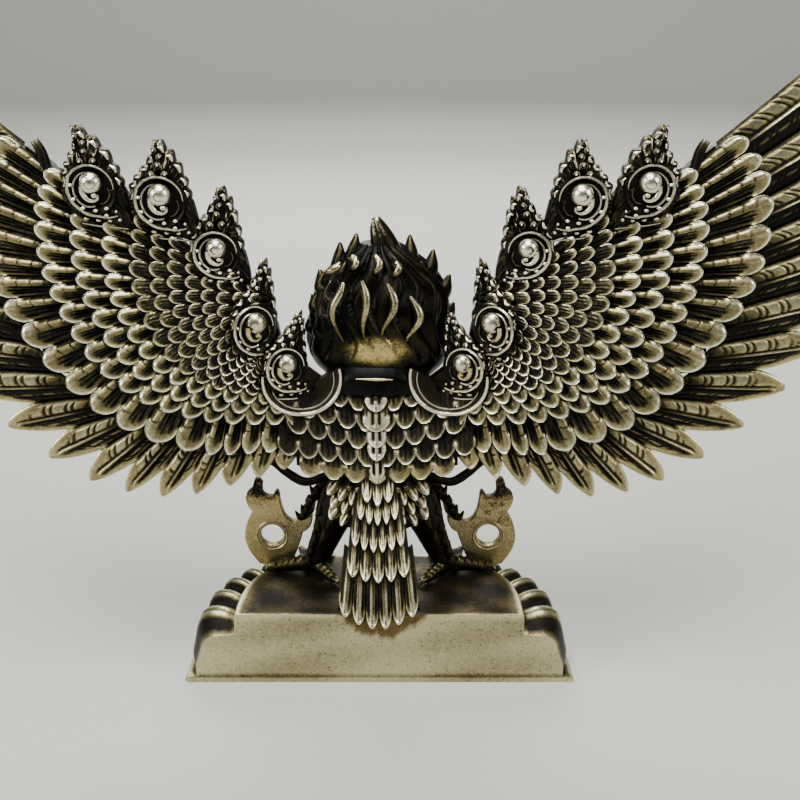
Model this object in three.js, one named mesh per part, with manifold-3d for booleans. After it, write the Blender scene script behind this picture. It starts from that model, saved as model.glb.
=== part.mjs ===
// A small cast Garuda, the sun bird of south and southeast Asia, standing on a half-round lotus plinth.
// Millimetres, +Z up. The figure faces -Y, so its feathered back and the flat back of the plinth face +Y.
// The origin is the middle of the plinth's underside.

import * as THREE from 'three';
import { mergeVertices } from 'three/addons/utils/BufferGeometryUtils.js';
import Module from 'manifold-3d';

const wasm = await Module();
wasm.setup();
const { Manifold, Mesh } = wasm;

// Driving dimensions of the plinth
const PLINTH_HEIGHT = 23.5;
const TOP_HALF_WIDTH = 43.6;
const TOP_DEPTH = 40;
const LEDGE_HEIGHT = 16.5;
const LEDGE_REACH = 13;
const FOOT_REACH = 16;
const FOOT_FLANGE = 1.6;
const PLINTH_SQUARENESS = 3;
const PETALS = 15;
const PETAL_RISE = 3.6;
const BACK_Y = 28;

// Clearance between the figure and what it stands on
const CLEARANCE = 0.3;

// The figure leans a little to one side: millimetres sideways for each millimetre of height
const LEAN = 0.011;

// Driving dimensions of the figure, measured up from the plinth's underside
const HEAD_CENTRE = new THREE.Vector3(0, 4, 112);
const HAIR_HALF_WIDTH = 20.5;
const HAIR_PEAK_Z = 140;
const NECK_Z = 90;
const HIP_Z = 57;
const LEG_THICKNESS = 9;
const TAIL_THICKNESS = 3.4;
const TAIL_TIP_Z = 20;
const TAIL_OVERHANG = 3;

// Driving dimensions of the wings
const WING_REACH = 143;
const WING_TOP_Z = 186;
const WING_CORE_FRONT = 2.6;
const FEATHER_THICKNESS = 1.9;
const QUILLS = 17;
const GREATER_COVERTS = 20;
const SCALE_ROWS = 4;
const SCALES_IN_FIRST_ROW = 19;
const SCALES_IN_LAST_ROW = 14;
const CREST_THICKNESS = 4.4;
const DISH = { out: 20.9, up: 95.4, radius: 11.2 };

// Points nearer to each other than this are one point
const WELD = 1e-3;

// Small tools for closed solids

function closedSolid(points, faces) {
  let volume = 0;
  for (const [a, b, c] of faces) {
    volume += points[a].dot(new THREE.Vector3().crossVectors(points[b], points[c]));
  }
  const triangles = volume < 0 ? faces.map(([a, b, c]) => [a, c, b]) : faces;
  return new Manifold(new Mesh({
    numProp: 3,
    vertProperties: new Float32Array(points.flatMap((p) => [p.x, p.y, p.z])),
    triVerts: new Uint32Array(triangles.flat()),
  }));
}

// Rings of equal length, joined side to side and closed by a fan at each end.
function loft(rings) {
  const sides = rings[0].length;
  const points = rings.flat();
  const faces = [];
  for (let r = 0; r < rings.length - 1; r += 1) {
    for (let i = 0; i < sides; i += 1) {
      const a = r * sides + i;
      const b = r * sides + ((i + 1) % sides);
      faces.push([a, b, b + sides], [a, b + sides, a + sides]);
    }
  }
  for (const [start, flip] of [[0, true], [(rings.length - 1) * sides, false]]) {
    for (let i = 1; i < sides - 1; i += 1) {
      faces.push(flip ? [start, start + i + 1, start + i] : [start, start + i, start + i + 1]);
    }
  }
  return closedSolid(points, faces);
}

// Stitches two lines of points, of any two lengths, with triangles.
function stitch(a, b) {
  const faces = [];
  let i = 0;
  let j = 0;
  while (i < a.length - 1 || j < b.length - 1) {
    const nextA = (i + 1) / (a.length - 1);
    const nextB = (j + 1) / (b.length - 1);
    if (j === b.length - 1 || (i < a.length - 1 && nextA <= nextB)) {
      faces.push([a[i], a[i + 1], b[j]]);
      i += 1;
    } else {
      faces.push([b[j + 1], b[j], a[i]]);
      j += 1;
    }
  }
  return faces;
}

// A thick sheet. Both faces are given as lines of points that lie one after another from root to tip.
function sheet(back, front) {
  const points = [...back, ...front].flat();
  let start = 0;
  const number = (line) => {
    start += line.length;
    return line.map((_, i) => start - line.length + i);
  };
  const backLines = back.map(number);
  const frontLines = front.map(number);
  const loop = [...backLines, ...frontLines.toReversed()];
  const faces = loop.flatMap((line, i) => stitch(line, loop[(i + 1) % loop.length]));
  const ends = (which) => [backLines, frontLines].map((lines) => lines.map((line) => line.at(which)));
  faces.push(...stitch(...ends(0)));
  faces.push(...stitch(...ends(-1)).map(([a, b, c]) => [a, c, b]));
  return closedSolid(points, faces);
}

// A round bar through the given points, with a radius at each; flat squeezes its section along Y.
function limb(points, radii, sides = 6, flat = 1) {
  const rings = points.map((centre, i) => {
    const before = points[Math.max(0, i - 1)];
    const after = points[Math.min(points.length - 1, i + 1)];
    const along = new THREE.Vector3().subVectors(after, before).normalize();
    const guide = Math.abs(along.y) > 0.9 ? new THREE.Vector3(1, 0, 0) : new THREE.Vector3(0, 1, 0);
    const across = new THREE.Vector3().crossVectors(along, guide).normalize();
    const depth = new THREE.Vector3().crossVectors(across, along);
    return Array.from({ length: sides }, (_, k) => {
      const turn = (2 * Math.PI * (k + 0.5)) / sides;
      return centre.clone()
        .addScaledVector(across, radii[i] * Math.cos(turn))
        .addScaledVector(depth, radii[i] * flat * Math.sin(turn));
    });
  });
  return loft(rings);
}

function sampledLimb(curvePoints, radiusAt, steps, sides, flat) {
  const curve = new THREE.CatmullRomCurve3(curvePoints);
  const shares = Array.from({ length: steps + 1 }, (_, i) => i / steps);
  return limb(shares.map((t) => curve.getPoint(t)), shares.map(radiusAt), sides, flat);
}

// Where more than two faces meet along an edge, the edge is drawn together to a point.
function closeEdges(triples) {
  let faces = triples;
  for (;;) {
    const uses = new Map();
    for (const face of faces) {
      for (let k = 0; k < 3; k += 1) {
        const ends = [face[k], face[(k + 1) % 3]].sort((a, b) => a - b).join();
        uses.set(ends, (uses.get(ends) ?? 0) + 1);
      }
    }
    const crowded = [...uses.keys()].find((ends) => uses.get(ends) > 2);
    if (!crowded) {
      return faces;
    }
    const [kept, dropped] = crowded.split(',').map(Number);
    const moved = faces.map((face) => face.map((i) => (i === dropped ? kept : i)));
    faces = moved.filter(([a, b, c]) => a !== b && b !== c && a !== c);
  }
}

// A closed three.js geometry as a solid, with each of its points moved by place.
function solidFrom(geometry, place) {
  const bare = geometry.clone();
  bare.deleteAttribute('normal');
  bare.deleteAttribute('uv');
  const merged = mergeVertices(bare, WELD);
  const position = merged.attributes.position;
  const points = Array.from({ length: position.count }, (_, i) => (
    place(new THREE.Vector3().fromBufferAttribute(position, i))
  ));
  const index = Array.from(merged.index.array);
  const triples = Array.from({ length: index.length / 3 }, (_, i) => index.slice(3 * i, 3 * i + 3));
  return closedSolid(points, closeEdges(triples.filter(([a, b, c]) => a !== b && b !== c && a !== c)));
}

function extruded(shape, depth, place) {
  const geometry = new THREE.ExtrudeGeometry(shape, { depth, bevelEnabled: false, curveSegments: 2 });
  return solidFrom(geometry, place);
}

const mix = THREE.MathUtils.lerp;
const radians = THREE.MathUtils.degToRad;
const v3 = (x, y, z) => new THREE.Vector3(x, y, z);
const mirrored = (p, side) => v3(side * p.x, p.y, p.z);

// Plinth: tiers swept round a half-round plan, with a ring of lotus petals draped over the lower tier

function planPoint(share, reach) {
  const halfWidth = TOP_HALF_WIDTH + reach;
  const depth = TOP_DEPTH + reach;
  const turn = Math.PI * share;
  const power = 2 / PLINTH_SQUARENESS;
  const x = -halfWidth * Math.sign(Math.cos(turn)) * Math.abs(Math.cos(turn)) ** power;
  const y = BACK_Y - depth * Math.sin(turn) ** power;
  return new THREE.Vector2(x, y);
}

function plinth() {
  const columns = PETALS * 3;
  const foot = FOOT_REACH - 2.5;
  const tiers = [
    { z: 0, reach: FOOT_REACH, petal: 0 },
    { z: FOOT_FLANGE, reach: FOOT_REACH, petal: 0 },
    { z: FOOT_FLANGE + 0.4, reach: foot - PETAL_RISE * 0.3, petal: 0.4 },
    { z: LEDGE_HEIGHT * 0.6, reach: LEDGE_REACH - PETAL_RISE * 0.6, petal: 1 },
    { z: LEDGE_HEIGHT - 0.8, reach: LEDGE_REACH - PETAL_RISE - 1, petal: 0.9, lift: 0.7 },
    { z: LEDGE_HEIGHT - 0.4, reach: LEDGE_REACH * 0.35, petal: 0.2, lift: 1 },
    { z: LEDGE_HEIGHT, reach: 0.2, petal: 0, lift: 0.5 },
    { z: PLINTH_HEIGHT, reach: 0, petal: 0 },
  ];
  const crest = (i) => Math.sin(Math.PI * ((i / 3) % 1)) ** 0.6;
  const points = [];
  for (const tier of tiers) {
    for (let i = 0; i <= columns; i += 1) {
      const plan = planPoint(i / columns, tier.reach + PETAL_RISE * tier.petal * crest(i));
      points.push(v3(plan.x, plan.y, tier.z + PETAL_RISE * (tier.lift ?? 0) * crest(i)));
    }
  }
  const width = columns + 1;
  const faces = [];
  for (let r = 0; r < tiers.length - 1; r += 1) {
    for (let i = 0; i < columns; i += 1) {
      const a = r * width + i;
      faces.push([a, a + 1, a + 1 + width], [a, a + 1 + width, a + width]);
    }
  }
  // The underside and the top are closed by bands from the left half of the plan to its right half.
  const top = (tiers.length - 1) * width;
  for (let i = 0; i < columns / 2; i += 1) {
    const right = columns - i;
    faces.push([i, right, right - 1], [top + i, top + right - 1, top + right]);
    if (i + 1 < right - 1) {
      faces.push([i, right - 1, i + 1], [top + i, top + i + 1, top + right - 1]);
    }
  }
  // The flat back shows the plinth's profile.
  for (let r = 0; r < tiers.length - 1; r += 1) {
    const left = r * width;
    const right = left + columns;
    faces.push([left, right + width, right], [left, left + width, right + width]);
  }
  return closedSolid(points, faces);
}

// Wings: u runs outward from the middle, v is height, and h is how far a point stands out at the back

function backOfWing(u) {
  const spread = (Math.max(0, u - 12) / 28) ** 2;
  const rootRise = 10 * (1 - Math.exp(-spread));
  const tipSweep = 0.0018 * Math.max(0, u - 80) ** 2;
  return 14 + rootRise - tipSweep;
}

const onWing = (side) => (u, v, h) => v3(side * u, backOfWing(u) + h, v);

// Each row of feathers follows a curve of its tips. A station is a share of the wing's reach, a share
// of the wing's height and the way the feather points there, in degrees.
const rowCurve = (stations) => new THREE.CatmullRomCurve3(
  stations.map(([out, up, turn]) => v3(out * WING_REACH, up * WING_TOP_Z, turn)),
);

const QUILL_TIPS = rowCurve([
  [0.166, 0.360, -80], [0.277, 0.341, -72], [0.421, 0.324, -58], [0.572, 0.349, -40],
  [0.738, 0.440, -12], [0.896, 0.574, 7], [0.979, 0.731, 18], [0.986, 0.876, 27],
  [0.892, 1.032, 40],
]);
const GREATER_TIPS = rowCurve([
  [0.154, 0.390, -88], [0.259, 0.392, -80], [0.354, 0.398, -69], [0.503, 0.441, -51],
  [0.622, 0.522, -28], [0.710, 0.624, -7], [0.750, 0.715, 9], [0.741, 0.823, 28],
  [0.678, 0.887, 40],
]);
const FIRST_SCALE_TIPS = rowCurve([
  [0.147, 0.433, -90], [0.245, 0.441, -80], [0.350, 0.454, -66], [0.455, 0.484, -48],
  [0.545, 0.543, -26], [0.600, 0.622, -8], [0.629, 0.699, 6], [0.626, 0.780, 22],
  [0.594, 0.841, 38],
]);
const LAST_SCALE_TIPS = rowCurve([
  [0.154, 0.489, -88], [0.210, 0.522, -76], [0.259, 0.570, -58], [0.308, 0.616, -36],
  [0.357, 0.656, -14], [0.413, 0.696, 2], [0.476, 0.739, 14], [0.538, 0.780, 24],
]);

// How far each kind of feather reaches and how high it stands, from one edge through its middle to
// the next edge, as shares of the notch between tips and of the crown.
const LANCE = [
  { back: 1, rise: 0 }, { back: 0.36, rise: 0.5 }, { back: 0, rise: 1 }, { back: 0.36, rise: 0.5 },
];
const POINT = [{ back: 1, rise: 0 }, { back: 0, rise: 1 }];

// The lines of points of one row of feathers: its notched edge, and the foot of the step below it.
// The foot has a point under each point of the edge, or under each notch only. place(tip, a, h)
// gives the point that lies a behind the tip and h above the surface.
function rowLines({ count, form, tip, notch, top, crown, foot, full }, place) {
  const line = (steps, shares) => Array.from({ length: steps + 1 }, (_, i) => {
    const { back, rise } = shares[i % shares.length];
    const t = i / steps;
    return place(tip(t), back * notch(t), rise);
  });
  const edge = line(
    count * form.length,
    form.map(({ back, rise }) => ({ back, rise: top + crown * rise })),
  );
  const step = full
    ? line(count * form.length, form.map(({ back }) => ({ back, rise: foot })))
    : line(count, [{ back: form[0].back, rise: foot }]);
  return [edge, step];
}

const plainLine = (count, tip, behind, height, place) => (
  Array.from({ length: count }, (_, i) => place(tip(i / (count - 1)), behind, height))
);

function wing(side) {
  const surface = onWing(side);
  const place = (tip, a, h) => surface(
    tip.x - a * Math.cos(radians(tip.z)),
    tip.y - a * Math.sin(radians(tip.z)),
    h,
  );
  const scaleTip = (inward) => (t) => (
    FIRST_SCALE_TIPS.getPoint(t).lerp(LAST_SCALE_TIPS.getPoint(t), inward)
  );
  const scales = Array.from({ length: SCALE_ROWS }, (_, k) => {
    const inward = 1 - k / (SCALE_ROWS - 1);
    return {
      count: Math.round(mix(SCALES_IN_FIRST_ROW, SCALES_IN_LAST_ROW, inward)),
      form: POINT,
      tip: scaleTip(inward),
      notch: () => mix(2.8, 1.8, inward),
      top: mix(2.5, 4, inward),
      crown: 0.6,
      foot: mix(0.6, 2.7, inward),
    };
  });
  const greater = {
    count: GREATER_COVERTS,
    form: POINT,
    tip: (t) => GREATER_TIPS.getPoint(t),
    notch: () => 3,
    top: 1.3,
    crown: 0.6,
    foot: -0.9,
  };
  const quills = {
    count: QUILLS,
    form: LANCE,
    tip: (t) => QUILL_TIPS.getPoint(t),
    notch: (t) => mix(3.4, 13, Math.min(1, t * 2)),
    top: -0.7,
    crown: 1.3,
    foot: -0.7 - FEATHER_THICKNESS,
    full: true,
  };
  const underside = {
    count: 12,
    form: POINT,
    tip: (t) => GREATER_TIPS.getPoint(t),
    notch: () => 4,
    top: -WING_CORE_FRONT - 1,
    crown: -0.6,
    foot: -WING_CORE_FRONT + 0.6,
  };
  const crestLine = (t) => LAST_SCALE_TIPS.getPoint(t).add(v3(-7 + 3 * t, 2 + 9 * t, 0));
  const back = [
    plainLine(10, crestLine, 0, 3, place),
    ...[...scales, greater, quills].flatMap((row) => rowLines(row, place)),
  ];
  const front = [
    plainLine(7, crestLine, 0, -WING_CORE_FRONT, place),
    plainLine(7, scaleTip(0), 0, -WING_CORE_FRONT - 0.8, place),
    ...rowLines(underside, place),
  ];
  return sheet(back, front);
}

// Crest ornaments: a flame leaf behind a round boss with a pearl, along the wing's leading edge.
// The places of a boss and of its leaf's tip are shares of the wing's reach and height. The inner
// side of a leaf, toward the head, is narrower by the share given last.

const CRESTS = [
  { at: [0.1757, 0.5272], tip: [0.147, 0.619], radius: 6.3, turn: 34, inner: 0.8 },
  { at: [0.232, 0.593], tip: [0.211, 0.704], radius: 6.9, turn: 42, inner: 0.85 },
  { at: [0.295, 0.710], tip: [0.282, 0.814], radius: 6.1, turn: 14, inner: 0.95 },
  { at: [0.390, 0.787], tip: [0.392, 0.881], radius: 6.7, turn: 4, inner: 0.95 },
  { at: [0.513, 0.805], tip: [0.543, 0.901], radius: 6.5, turn: 0, inner: 1 },
];

// The leaf's outline, from its tip round its inner side. The first number is in radii of the boss.
// The second is a share of the height of the tip where it is above the boss, and in radii below.
const LEAF = [
  [0, 1], [-0.66, 0.74], [-1.1, 0.36], [-1.28, 0], [-1.4, -1.5], [-0.2, -1.28],
  [0.8, -1], [1.25, -0.3], [1.28, 0.2], [0.92, 0.44], [0.4, 0.68],
];

// A crest stands in a plane of its own, turned about the vertical by the crest's turn.
function crestPlace(side, crest) {
  const u = crest.at[0] * WING_REACH;
  const turn = radians(crest.turn);
  return (p) => v3(
    side * (u + p.x * Math.cos(turn)),
    backOfWing(u) + 1.6 + p.z + p.x * Math.sin(turn),
    crest.at[1] * WING_TOP_Z + p.y,
  );
}

function leafRing(crest, share, rise) {
  const lean = ((crest.tip[0] - crest.at[0]) * WING_REACH) / Math.cos(radians(crest.turn));
  const height = (crest.tip[1] - crest.at[1]) * WING_TOP_Z;
  return LEAF.map(([across, up]) => {
    const high = Math.max(0, up);
    const width = across < 0 ? across * crest.inner : across;
    const x = width * crest.radius + lean * high * high;
    const y = up > 0 ? up * height : up * crest.radius;
    return v3(x * share, y * share, rise);
  });
}

function bossRing(crest, share, rise) {
  const sides = 8;
  return Array.from({ length: sides }, (_, k) => {
    const turn = (2 * Math.PI * k) / sides;
    const reach = crest.radius * share;
    return v3(reach * Math.cos(turn), reach * Math.sin(turn), rise);
  });
}

function crestSolids(side, crest) {
  const place = crestPlace(side, crest);
  const half = CREST_THICKNESS / 2;
  const leaf = [[0.7, half + 0.5], [1, half - 0.9], [1, 0.6 - half]];
  const boss = [[1, 0], [1, half + 1.3], [0.55, half + 0.5], [0.16, half + 3]];
  return [[leafRing, leaf], [bossRing, boss]].map(([ring, profile]) => (
    loft(profile.map(([share, rise]) => ring(crest, share, rise).map(place)))
  ));
}

// The half-round dish that the lowest crest stands in, beside the neck
function dish(side) {
  const steps = 9;
  const centre = v3(DISH.out, 0, DISH.up);
  const ring = (share, y) => Array.from({ length: steps + 1 }, (_, i) => {
    const turn = radians(mix(172, 368, i / steps));
    const x = centre.x + DISH.radius * share * Math.cos(turn);
    const z = centre.z + DISH.radius * (share * (Math.sin(turn) + 0.4) - 0.4);
    return v3(side * x, y + 0.3 * (x - centre.x), z);
  });
  const rim = backOfWing(DISH.out) + 3.7;
  return loft([ring(0.8, rim - 2), ring(0.88, rim), ring(1, rim), ring(1, rim - 4.4)]);
}

// The plain curl beyond the highest crest, as shares of the wing's reach and height
const CURL = [[0.5846, 0.8145], [0.6084, 0.8505], [0.6175, 0.8742]];

function curl(side) {
  const points = CURL.map(([out, up]) => {
    const u = out * WING_REACH;
    return v3(side * u, backOfWing(u) - 0.6, up * WING_TOP_Z);
  });
  return limb(points, [2.6, 1.9, 1.1], 4);
}

// The mantle: rows of scales across the figure's back, with a raised middle column

const MANTLE = [
  { middle: 84.6, outer: 91.5, count: 9, half: 24 },
  { middle: 78.4, outer: 85.5, count: 9, half: 26 },
  { middle: 72.6, outer: 79.5, count: 9, half: 27 },
  { middle: 67.2, outer: 71.8, count: 9, half: 27 },
  { middle: 61.8, outer: 65.2, count: 7, half: 23 },
];

function mantle() {
  const place = (tip, a, h) => v3(tip.x, backOfWing(Math.abs(tip.x)) + h, tip.y + a);
  const rows = MANTLE.map(({ middle, outer, count, half }, r) => ({
    count,
    form: POINT,
    tip: (t) => v3(half * (2 * t - 1), mix(middle, outer, Math.abs(2 * t - 1) ** 1.6), 0),
    notch: () => 2.6,
    top: 4.2 - 0.35 * r,
    crown: 0.8,
    foot: 2.4 - 0.35 * r,
  }));
  const back = [
    plainLine(11, (t) => v3(24 * (2 * t - 1), 93, 0), 0, 2.6, place),
    ...rows.flatMap((row) => rowLines(row, place)),
  ];
  const front = [93, 76, rows.at(-1).tip(0.5).y + 1].map((z) => (
    plainLine(7, (t) => v3(20 * (2 * t - 1), z, 0), 0, -1, place)
  ));
  return sheet(back, front);
}

// Body: torso, head, arms, legs, tail and scarf

// A body lofted through level sections: height, half width, front, back and how far it is to one side.
function sectioned(sections, sides) {
  return loft(sections.map(({ z, x, front, back, aside = 0 }) => Array.from({ length: sides }, (_, k) => {
    const turn = (2 * Math.PI * (k + 0.5)) / sides;
    const middle = (front + back) / 2;
    return v3(aside + x * Math.cos(turn), middle + ((back - front) / 2) * Math.sin(turn), z);
  })));
}

const torso = () => sectioned([
  { z: 50, x: 9, front: -1, back: 14 }, { z: 58, x: 13.5, front: -5, back: 16 },
  { z: 65, x: 13, front: -7, back: 15.5 }, { z: 73, x: 14.5, front: -8, back: 16 },
  { z: 82, x: 18.5, front: -8, back: 16.5 }, { z: 88, x: 17.5, front: -5, back: 15 },
  { z: NECK_Z + 3, x: 13.5, front: -3, back: 13.5 }, { z: NECK_Z + 8, x: 11, front: -4, back: 12 },
], 12);

// The mass of hair under the flaming locks
const hair = () => sectioned([
  { z: NECK_Z + 1.5, x: 14, front: 0, back: 14, aside: -1 },
  { z: NECK_Z + 8, x: HAIR_HALF_WIDTH - 0.6, front: -5, back: 18.4, aside: -1 },
  { z: NECK_Z + 16, x: HAIR_HALF_WIDTH, front: -7, back: 20, aside: -1 },
  { z: NECK_Z + 24, x: HAIR_HALF_WIDTH - 0.6, front: -7, back: 19.6, aside: -1.4 },
  { z: NECK_Z + 31, x: HAIR_HALF_WIDTH - 3, front: -6, back: 17.6, aside: -2 },
  { z: NECK_Z + 37, x: HAIR_HALF_WIDTH - 8, front: -3, back: 15, aside: -2 },
  { z: NECK_Z + 42, x: 5.5, front: 1, back: 11, aside: -2 },
], 12);

function ball(centre, size, around = 8, down = 5) {
  return solidFrom(new THREE.SphereGeometry(1, around, down), (p) => p.multiply(size).add(centre));
}

// Breast, belly, the face and the eyes
function bulges() {
  return [
    ball(v3(0, -3, 80), v3(14, 9, 9)),
    ball(v3(0, -2, 66), v3(11, 8.5, 9)),
    ball(HEAD_CENTRE.clone().add(v3(0, -8, -4)), v3(12, 11, 13), 8, 6),
    ball(v3(-5.4, -12.4, 111.5), v3(3.2, 2.8, 2.6), 6, 4),
    ball(v3(5.4, -12.4, 111.5), v3(3.2, 2.8, 2.6), 6, 4),
  ];
}

function beak() {
  const upper = sampledLimb(
    [v3(0, -13, 108), v3(0, -19, 108.5), v3(0, -24.5, 105), v3(0, -26, 99)],
    (t) => mix(5.4, 0.7, t ** 1.2),
    6,
    7,
  );
  const lower = sampledLimb(
    [v3(0, -13, 102), v3(0, -18, 101), v3(0, -21.5, 100.4)],
    (t) => mix(4.4, 1, t),
    3,
    6,
  );
  return [upper, lower];
}

// A lock of the flaming mane: a bent four-sided spike
function lock(from, bend, to, thickness, steps = 3) {
  return sampledLimb([from, bend, to], (t) => thickness * mix(1, 0.12, t ** 1.5), steps, 4);
}

// Tips of the locks that stand out round the head, sideways and up from the head's centre
const RIM_LOCKS = [
  [20, -3], [18.4, 4.6], [16, 12], [9.8, 19.8], [5, 22.4],
  [-10.4, 22], [-17.2, 17.8], [-21.9, 10.4], [-23.2, 2], [-22.4, -8],
];

// Locks that lie on the back of the head: where each starts, bends and ends, sideways and up from the
// head's centre, and how far it stands out
const BACK_LOCKS = [
  { foot: [-8.6, -6.6], bend: [-12.7, 0], tip: [-10.2, 7], out: 19 },
  { foot: [-2, -4], bend: [-5.6, 3.5], tip: [-3.9, 11], out: 20.4 },
  { foot: [2.8, -5], bend: [2.2, 3.5], tip: [3.2, 11.8], out: 20.4 },
  { foot: [8.8, -6], bend: [11.4, 4.3], tip: [8.4, 11.2], out: 19.5 },
  { foot: [-6.3, 10.8], bend: [-6.6, 13.6], tip: [-6.1, 16.3], out: 16.2 },
  { foot: [-0.8, 11.6], bend: [-1.4, 14.6], tip: [-0.5, 18.2], out: 16 },
  { foot: [4.9, 13], bend: [5, 15.4], tip: [6.2, 17.9], out: 15.6 },
  { foot: [13, 12.5], bend: [11.8, 14], tip: [9.6, 15.9], out: 15.6 },
];

function mane() {
  const level = (z) => HEAD_CENTRE.z + z;
  const heart = v3(0, 6, level(-6));
  const rim = RIM_LOCKS.map(([x, z]) => {
    const tip = v3(x, 5, level(z));
    const bend = tip.clone().lerp(heart, 0.14).add(v3(0.5 * Math.sign(x), 3, -1.2));
    return lock(tip.clone().lerp(heart, 0.4), bend, tip, 4.2, 2);
  });
  const peak = lock(v3(-2.6, 6, level(10)), v3(-3, 8, level(20)), v3(-0.3, 6, HAIR_PEAK_Z), 5.6);
  const back = BACK_LOCKS.map(({ foot, bend, tip, out }) => {
    const ends = [[foot, out - 3], [bend, out + 0.6], [tip, out - 1.4]];
    return lock(...ends.map(([[x, z], y]) => v3(x, y, level(z))), 1.8, 2);
  });
  return [...rim, peak, ...back];
}

// A diadem across the brow, with three upright leaves
function diadem() {
  const band = sampledLimb(
    [v3(-15, -1, 116), v3(-8.5, -9.4, 117.6), v3(0, -12.2, 118.4), v3(8.5, -9.4, 117.6), v3(15, -1, 116)],
    () => 1.9,
    4,
    4,
  );
  const leaves = [[-8.5, -9.4, 125], [0, -12.2, 129], [8.5, -9.4, 125]].map(([x, y, z]) => (
    limb(
      [v3(x, y, 117), v3(x, y - 0.8, mix(118, z, 0.45)), v3(x * 0.96, y + 1.4, z)],
      [2.2, 3, 0.4],
      4,
      0.6,
    )
  ));
  return [band, ...leaves];
}

function arms() {
  return [-1, 1].map((side) => {
    const joints = [v3(16, 5, 85), v3(21, 0, 74), v3(15, -12, 68), v3(5, -15.5, 73), v3(1.8, -15.5, 80)];
    return sampledLimb(joints.map((p) => mirrored(p, side)), (t) => mix(4.4, 2.1, t), 5, 6);
  });
}

function legs() {
  return [-1, 1].flatMap((side) => {
    const at = (x, y, z) => v3(side * x, y, z);
    const thick = LEG_THICKNESS / 2;
    const leg = limb(
      [at(8.5, 5, HIP_Z + 4), at(12.5, 4, 50), at(15.6, 3, 41), at(18.6, 3, 33), at(21, 3, 27.8)],
      [8, thick * 1.6, thick * 1.25, thick, thick * 0.9],
      6,
    );
    const ground = PLINTH_HEIGHT + CLEARANCE;
    const toe = (x, y) => limb(
      [at(21, 3, 27.4), at(mix(21, x, 0.55), mix(3, y, 0.55), ground + 3), at(x, y, ground + 1.1)],
      [3.3, 2.8, 1.1],
      3,
    );
    return [leg, toe(34, 0), toe(26, -10), toe(17, -11), toe(14.5, 9)];
  });
}

// The tail: rows of long feathers on a tapering slab that leans back over the plinth's edge

const tailLean = (z) => {
  const share = THREE.MathUtils.clamp((62 - z) / (62 - TAIL_TIP_Z), 0, 1);
  return mix(15, BACK_Y + TAIL_OVERHANG, share ** 0.85);
};

const TAIL_ROWS = [
  { z: 56, count: 5, half: 10, level: 2.2, form: POINT },
  { z: 50.2, count: 6, half: 10.4, level: 1.8, form: POINT },
  { z: 42.4, count: 7, half: 11, level: 1.4, form: POINT },
  { z: 34.4, count: 7, half: 12.2, level: 1, form: POINT },
];

function tail() {
  const place = (tip, a, h) => {
    const z = tip.y + a;
    return v3(tip.x * (tip.z - 0.12 * a), tailLean(z) + h - 0.6 * tip.x ** 2, z);
  };
  const rows = TAIL_ROWS.map(({ z, count, half, level, form }) => ({
    count,
    form,
    tip: (t) => v3(2 * t - 1, z + 3 * (2 * t - 1) ** 2, half),
    notch: () => 3,
    top: level,
    crown: 0.9,
    foot: level - 1.6,
  }));
  const tips = {
    count: 7,
    form: LANCE,
    tip: (t) => v3(2 * t - 1, TAIL_TIP_Z + 5 * (2 * t - 1) ** 2, 15),
    notch: () => 3.6,
    top: 0.2,
    crown: 1,
    foot: -0.9,
    full: true,
  };
  const back = [
    plainLine(7, (t) => v3(2 * t - 1, 68, 9), 0, 1, place),
    ...[...rows, tips].flatMap((row) => rowLines(row, place)),
  ];
  const front = [
    plainLine(5, (t) => v3(2 * t - 1, 68, 9), 0, -TAIL_THICKNESS, place),
    plainLine(5, (t) => v3(2 * t - 1, 44, 10), 0, -TAIL_THICKNESS, place),
    plainLine(5, (t) => v3(2 * t - 1, 28.5, 12), 0, -TAIL_THICKNESS, place),
    plainLine(5, (t) => v3(2 * t - 1, PLINTH_HEIGHT + 0.9, 13), 0, -0.7, place),
  ];
  return sheet(back, front);
}

// Hip feathers that cover the tops of the legs
function hips() {
  return [-1, 1].map((side) => {
    const place = (tip, a, h) => v3(side * (tip.x - 0.2 * a), 12 - 0.35 * tip.x + h, tip.y + a);
    const row = (z, top) => ({
      count: 3,
      form: POINT,
      tip: (t) => v3(mix(7, 19, t), z + 2 * t, 0),
      notch: () => 2.6,
      top,
      crown: 0.8,
      foot: top - 1.6,
    });
    const root = (t) => v3(mix(7, 17, t), 60, 0);
    const back = [
      plainLine(4, root, 0, 1, place),
      ...[row(54.5, 1.6), row(49.5, 0.8)].flatMap((line) => rowLines(line, place)),
    ];
    const below = (t) => v3(mix(8, 15, t), 53, 0);
    const front = [root, below].map((line) => plainLine(3, line, 0, -4, place));
    return sheet(back, front);
  });
}

// Flaming rings that stand beside the legs, each a flat plate with a round hole

const RING = { x: 35, z: 34.8, y: -3, thickness: 3, hole: 3.7 };

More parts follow.
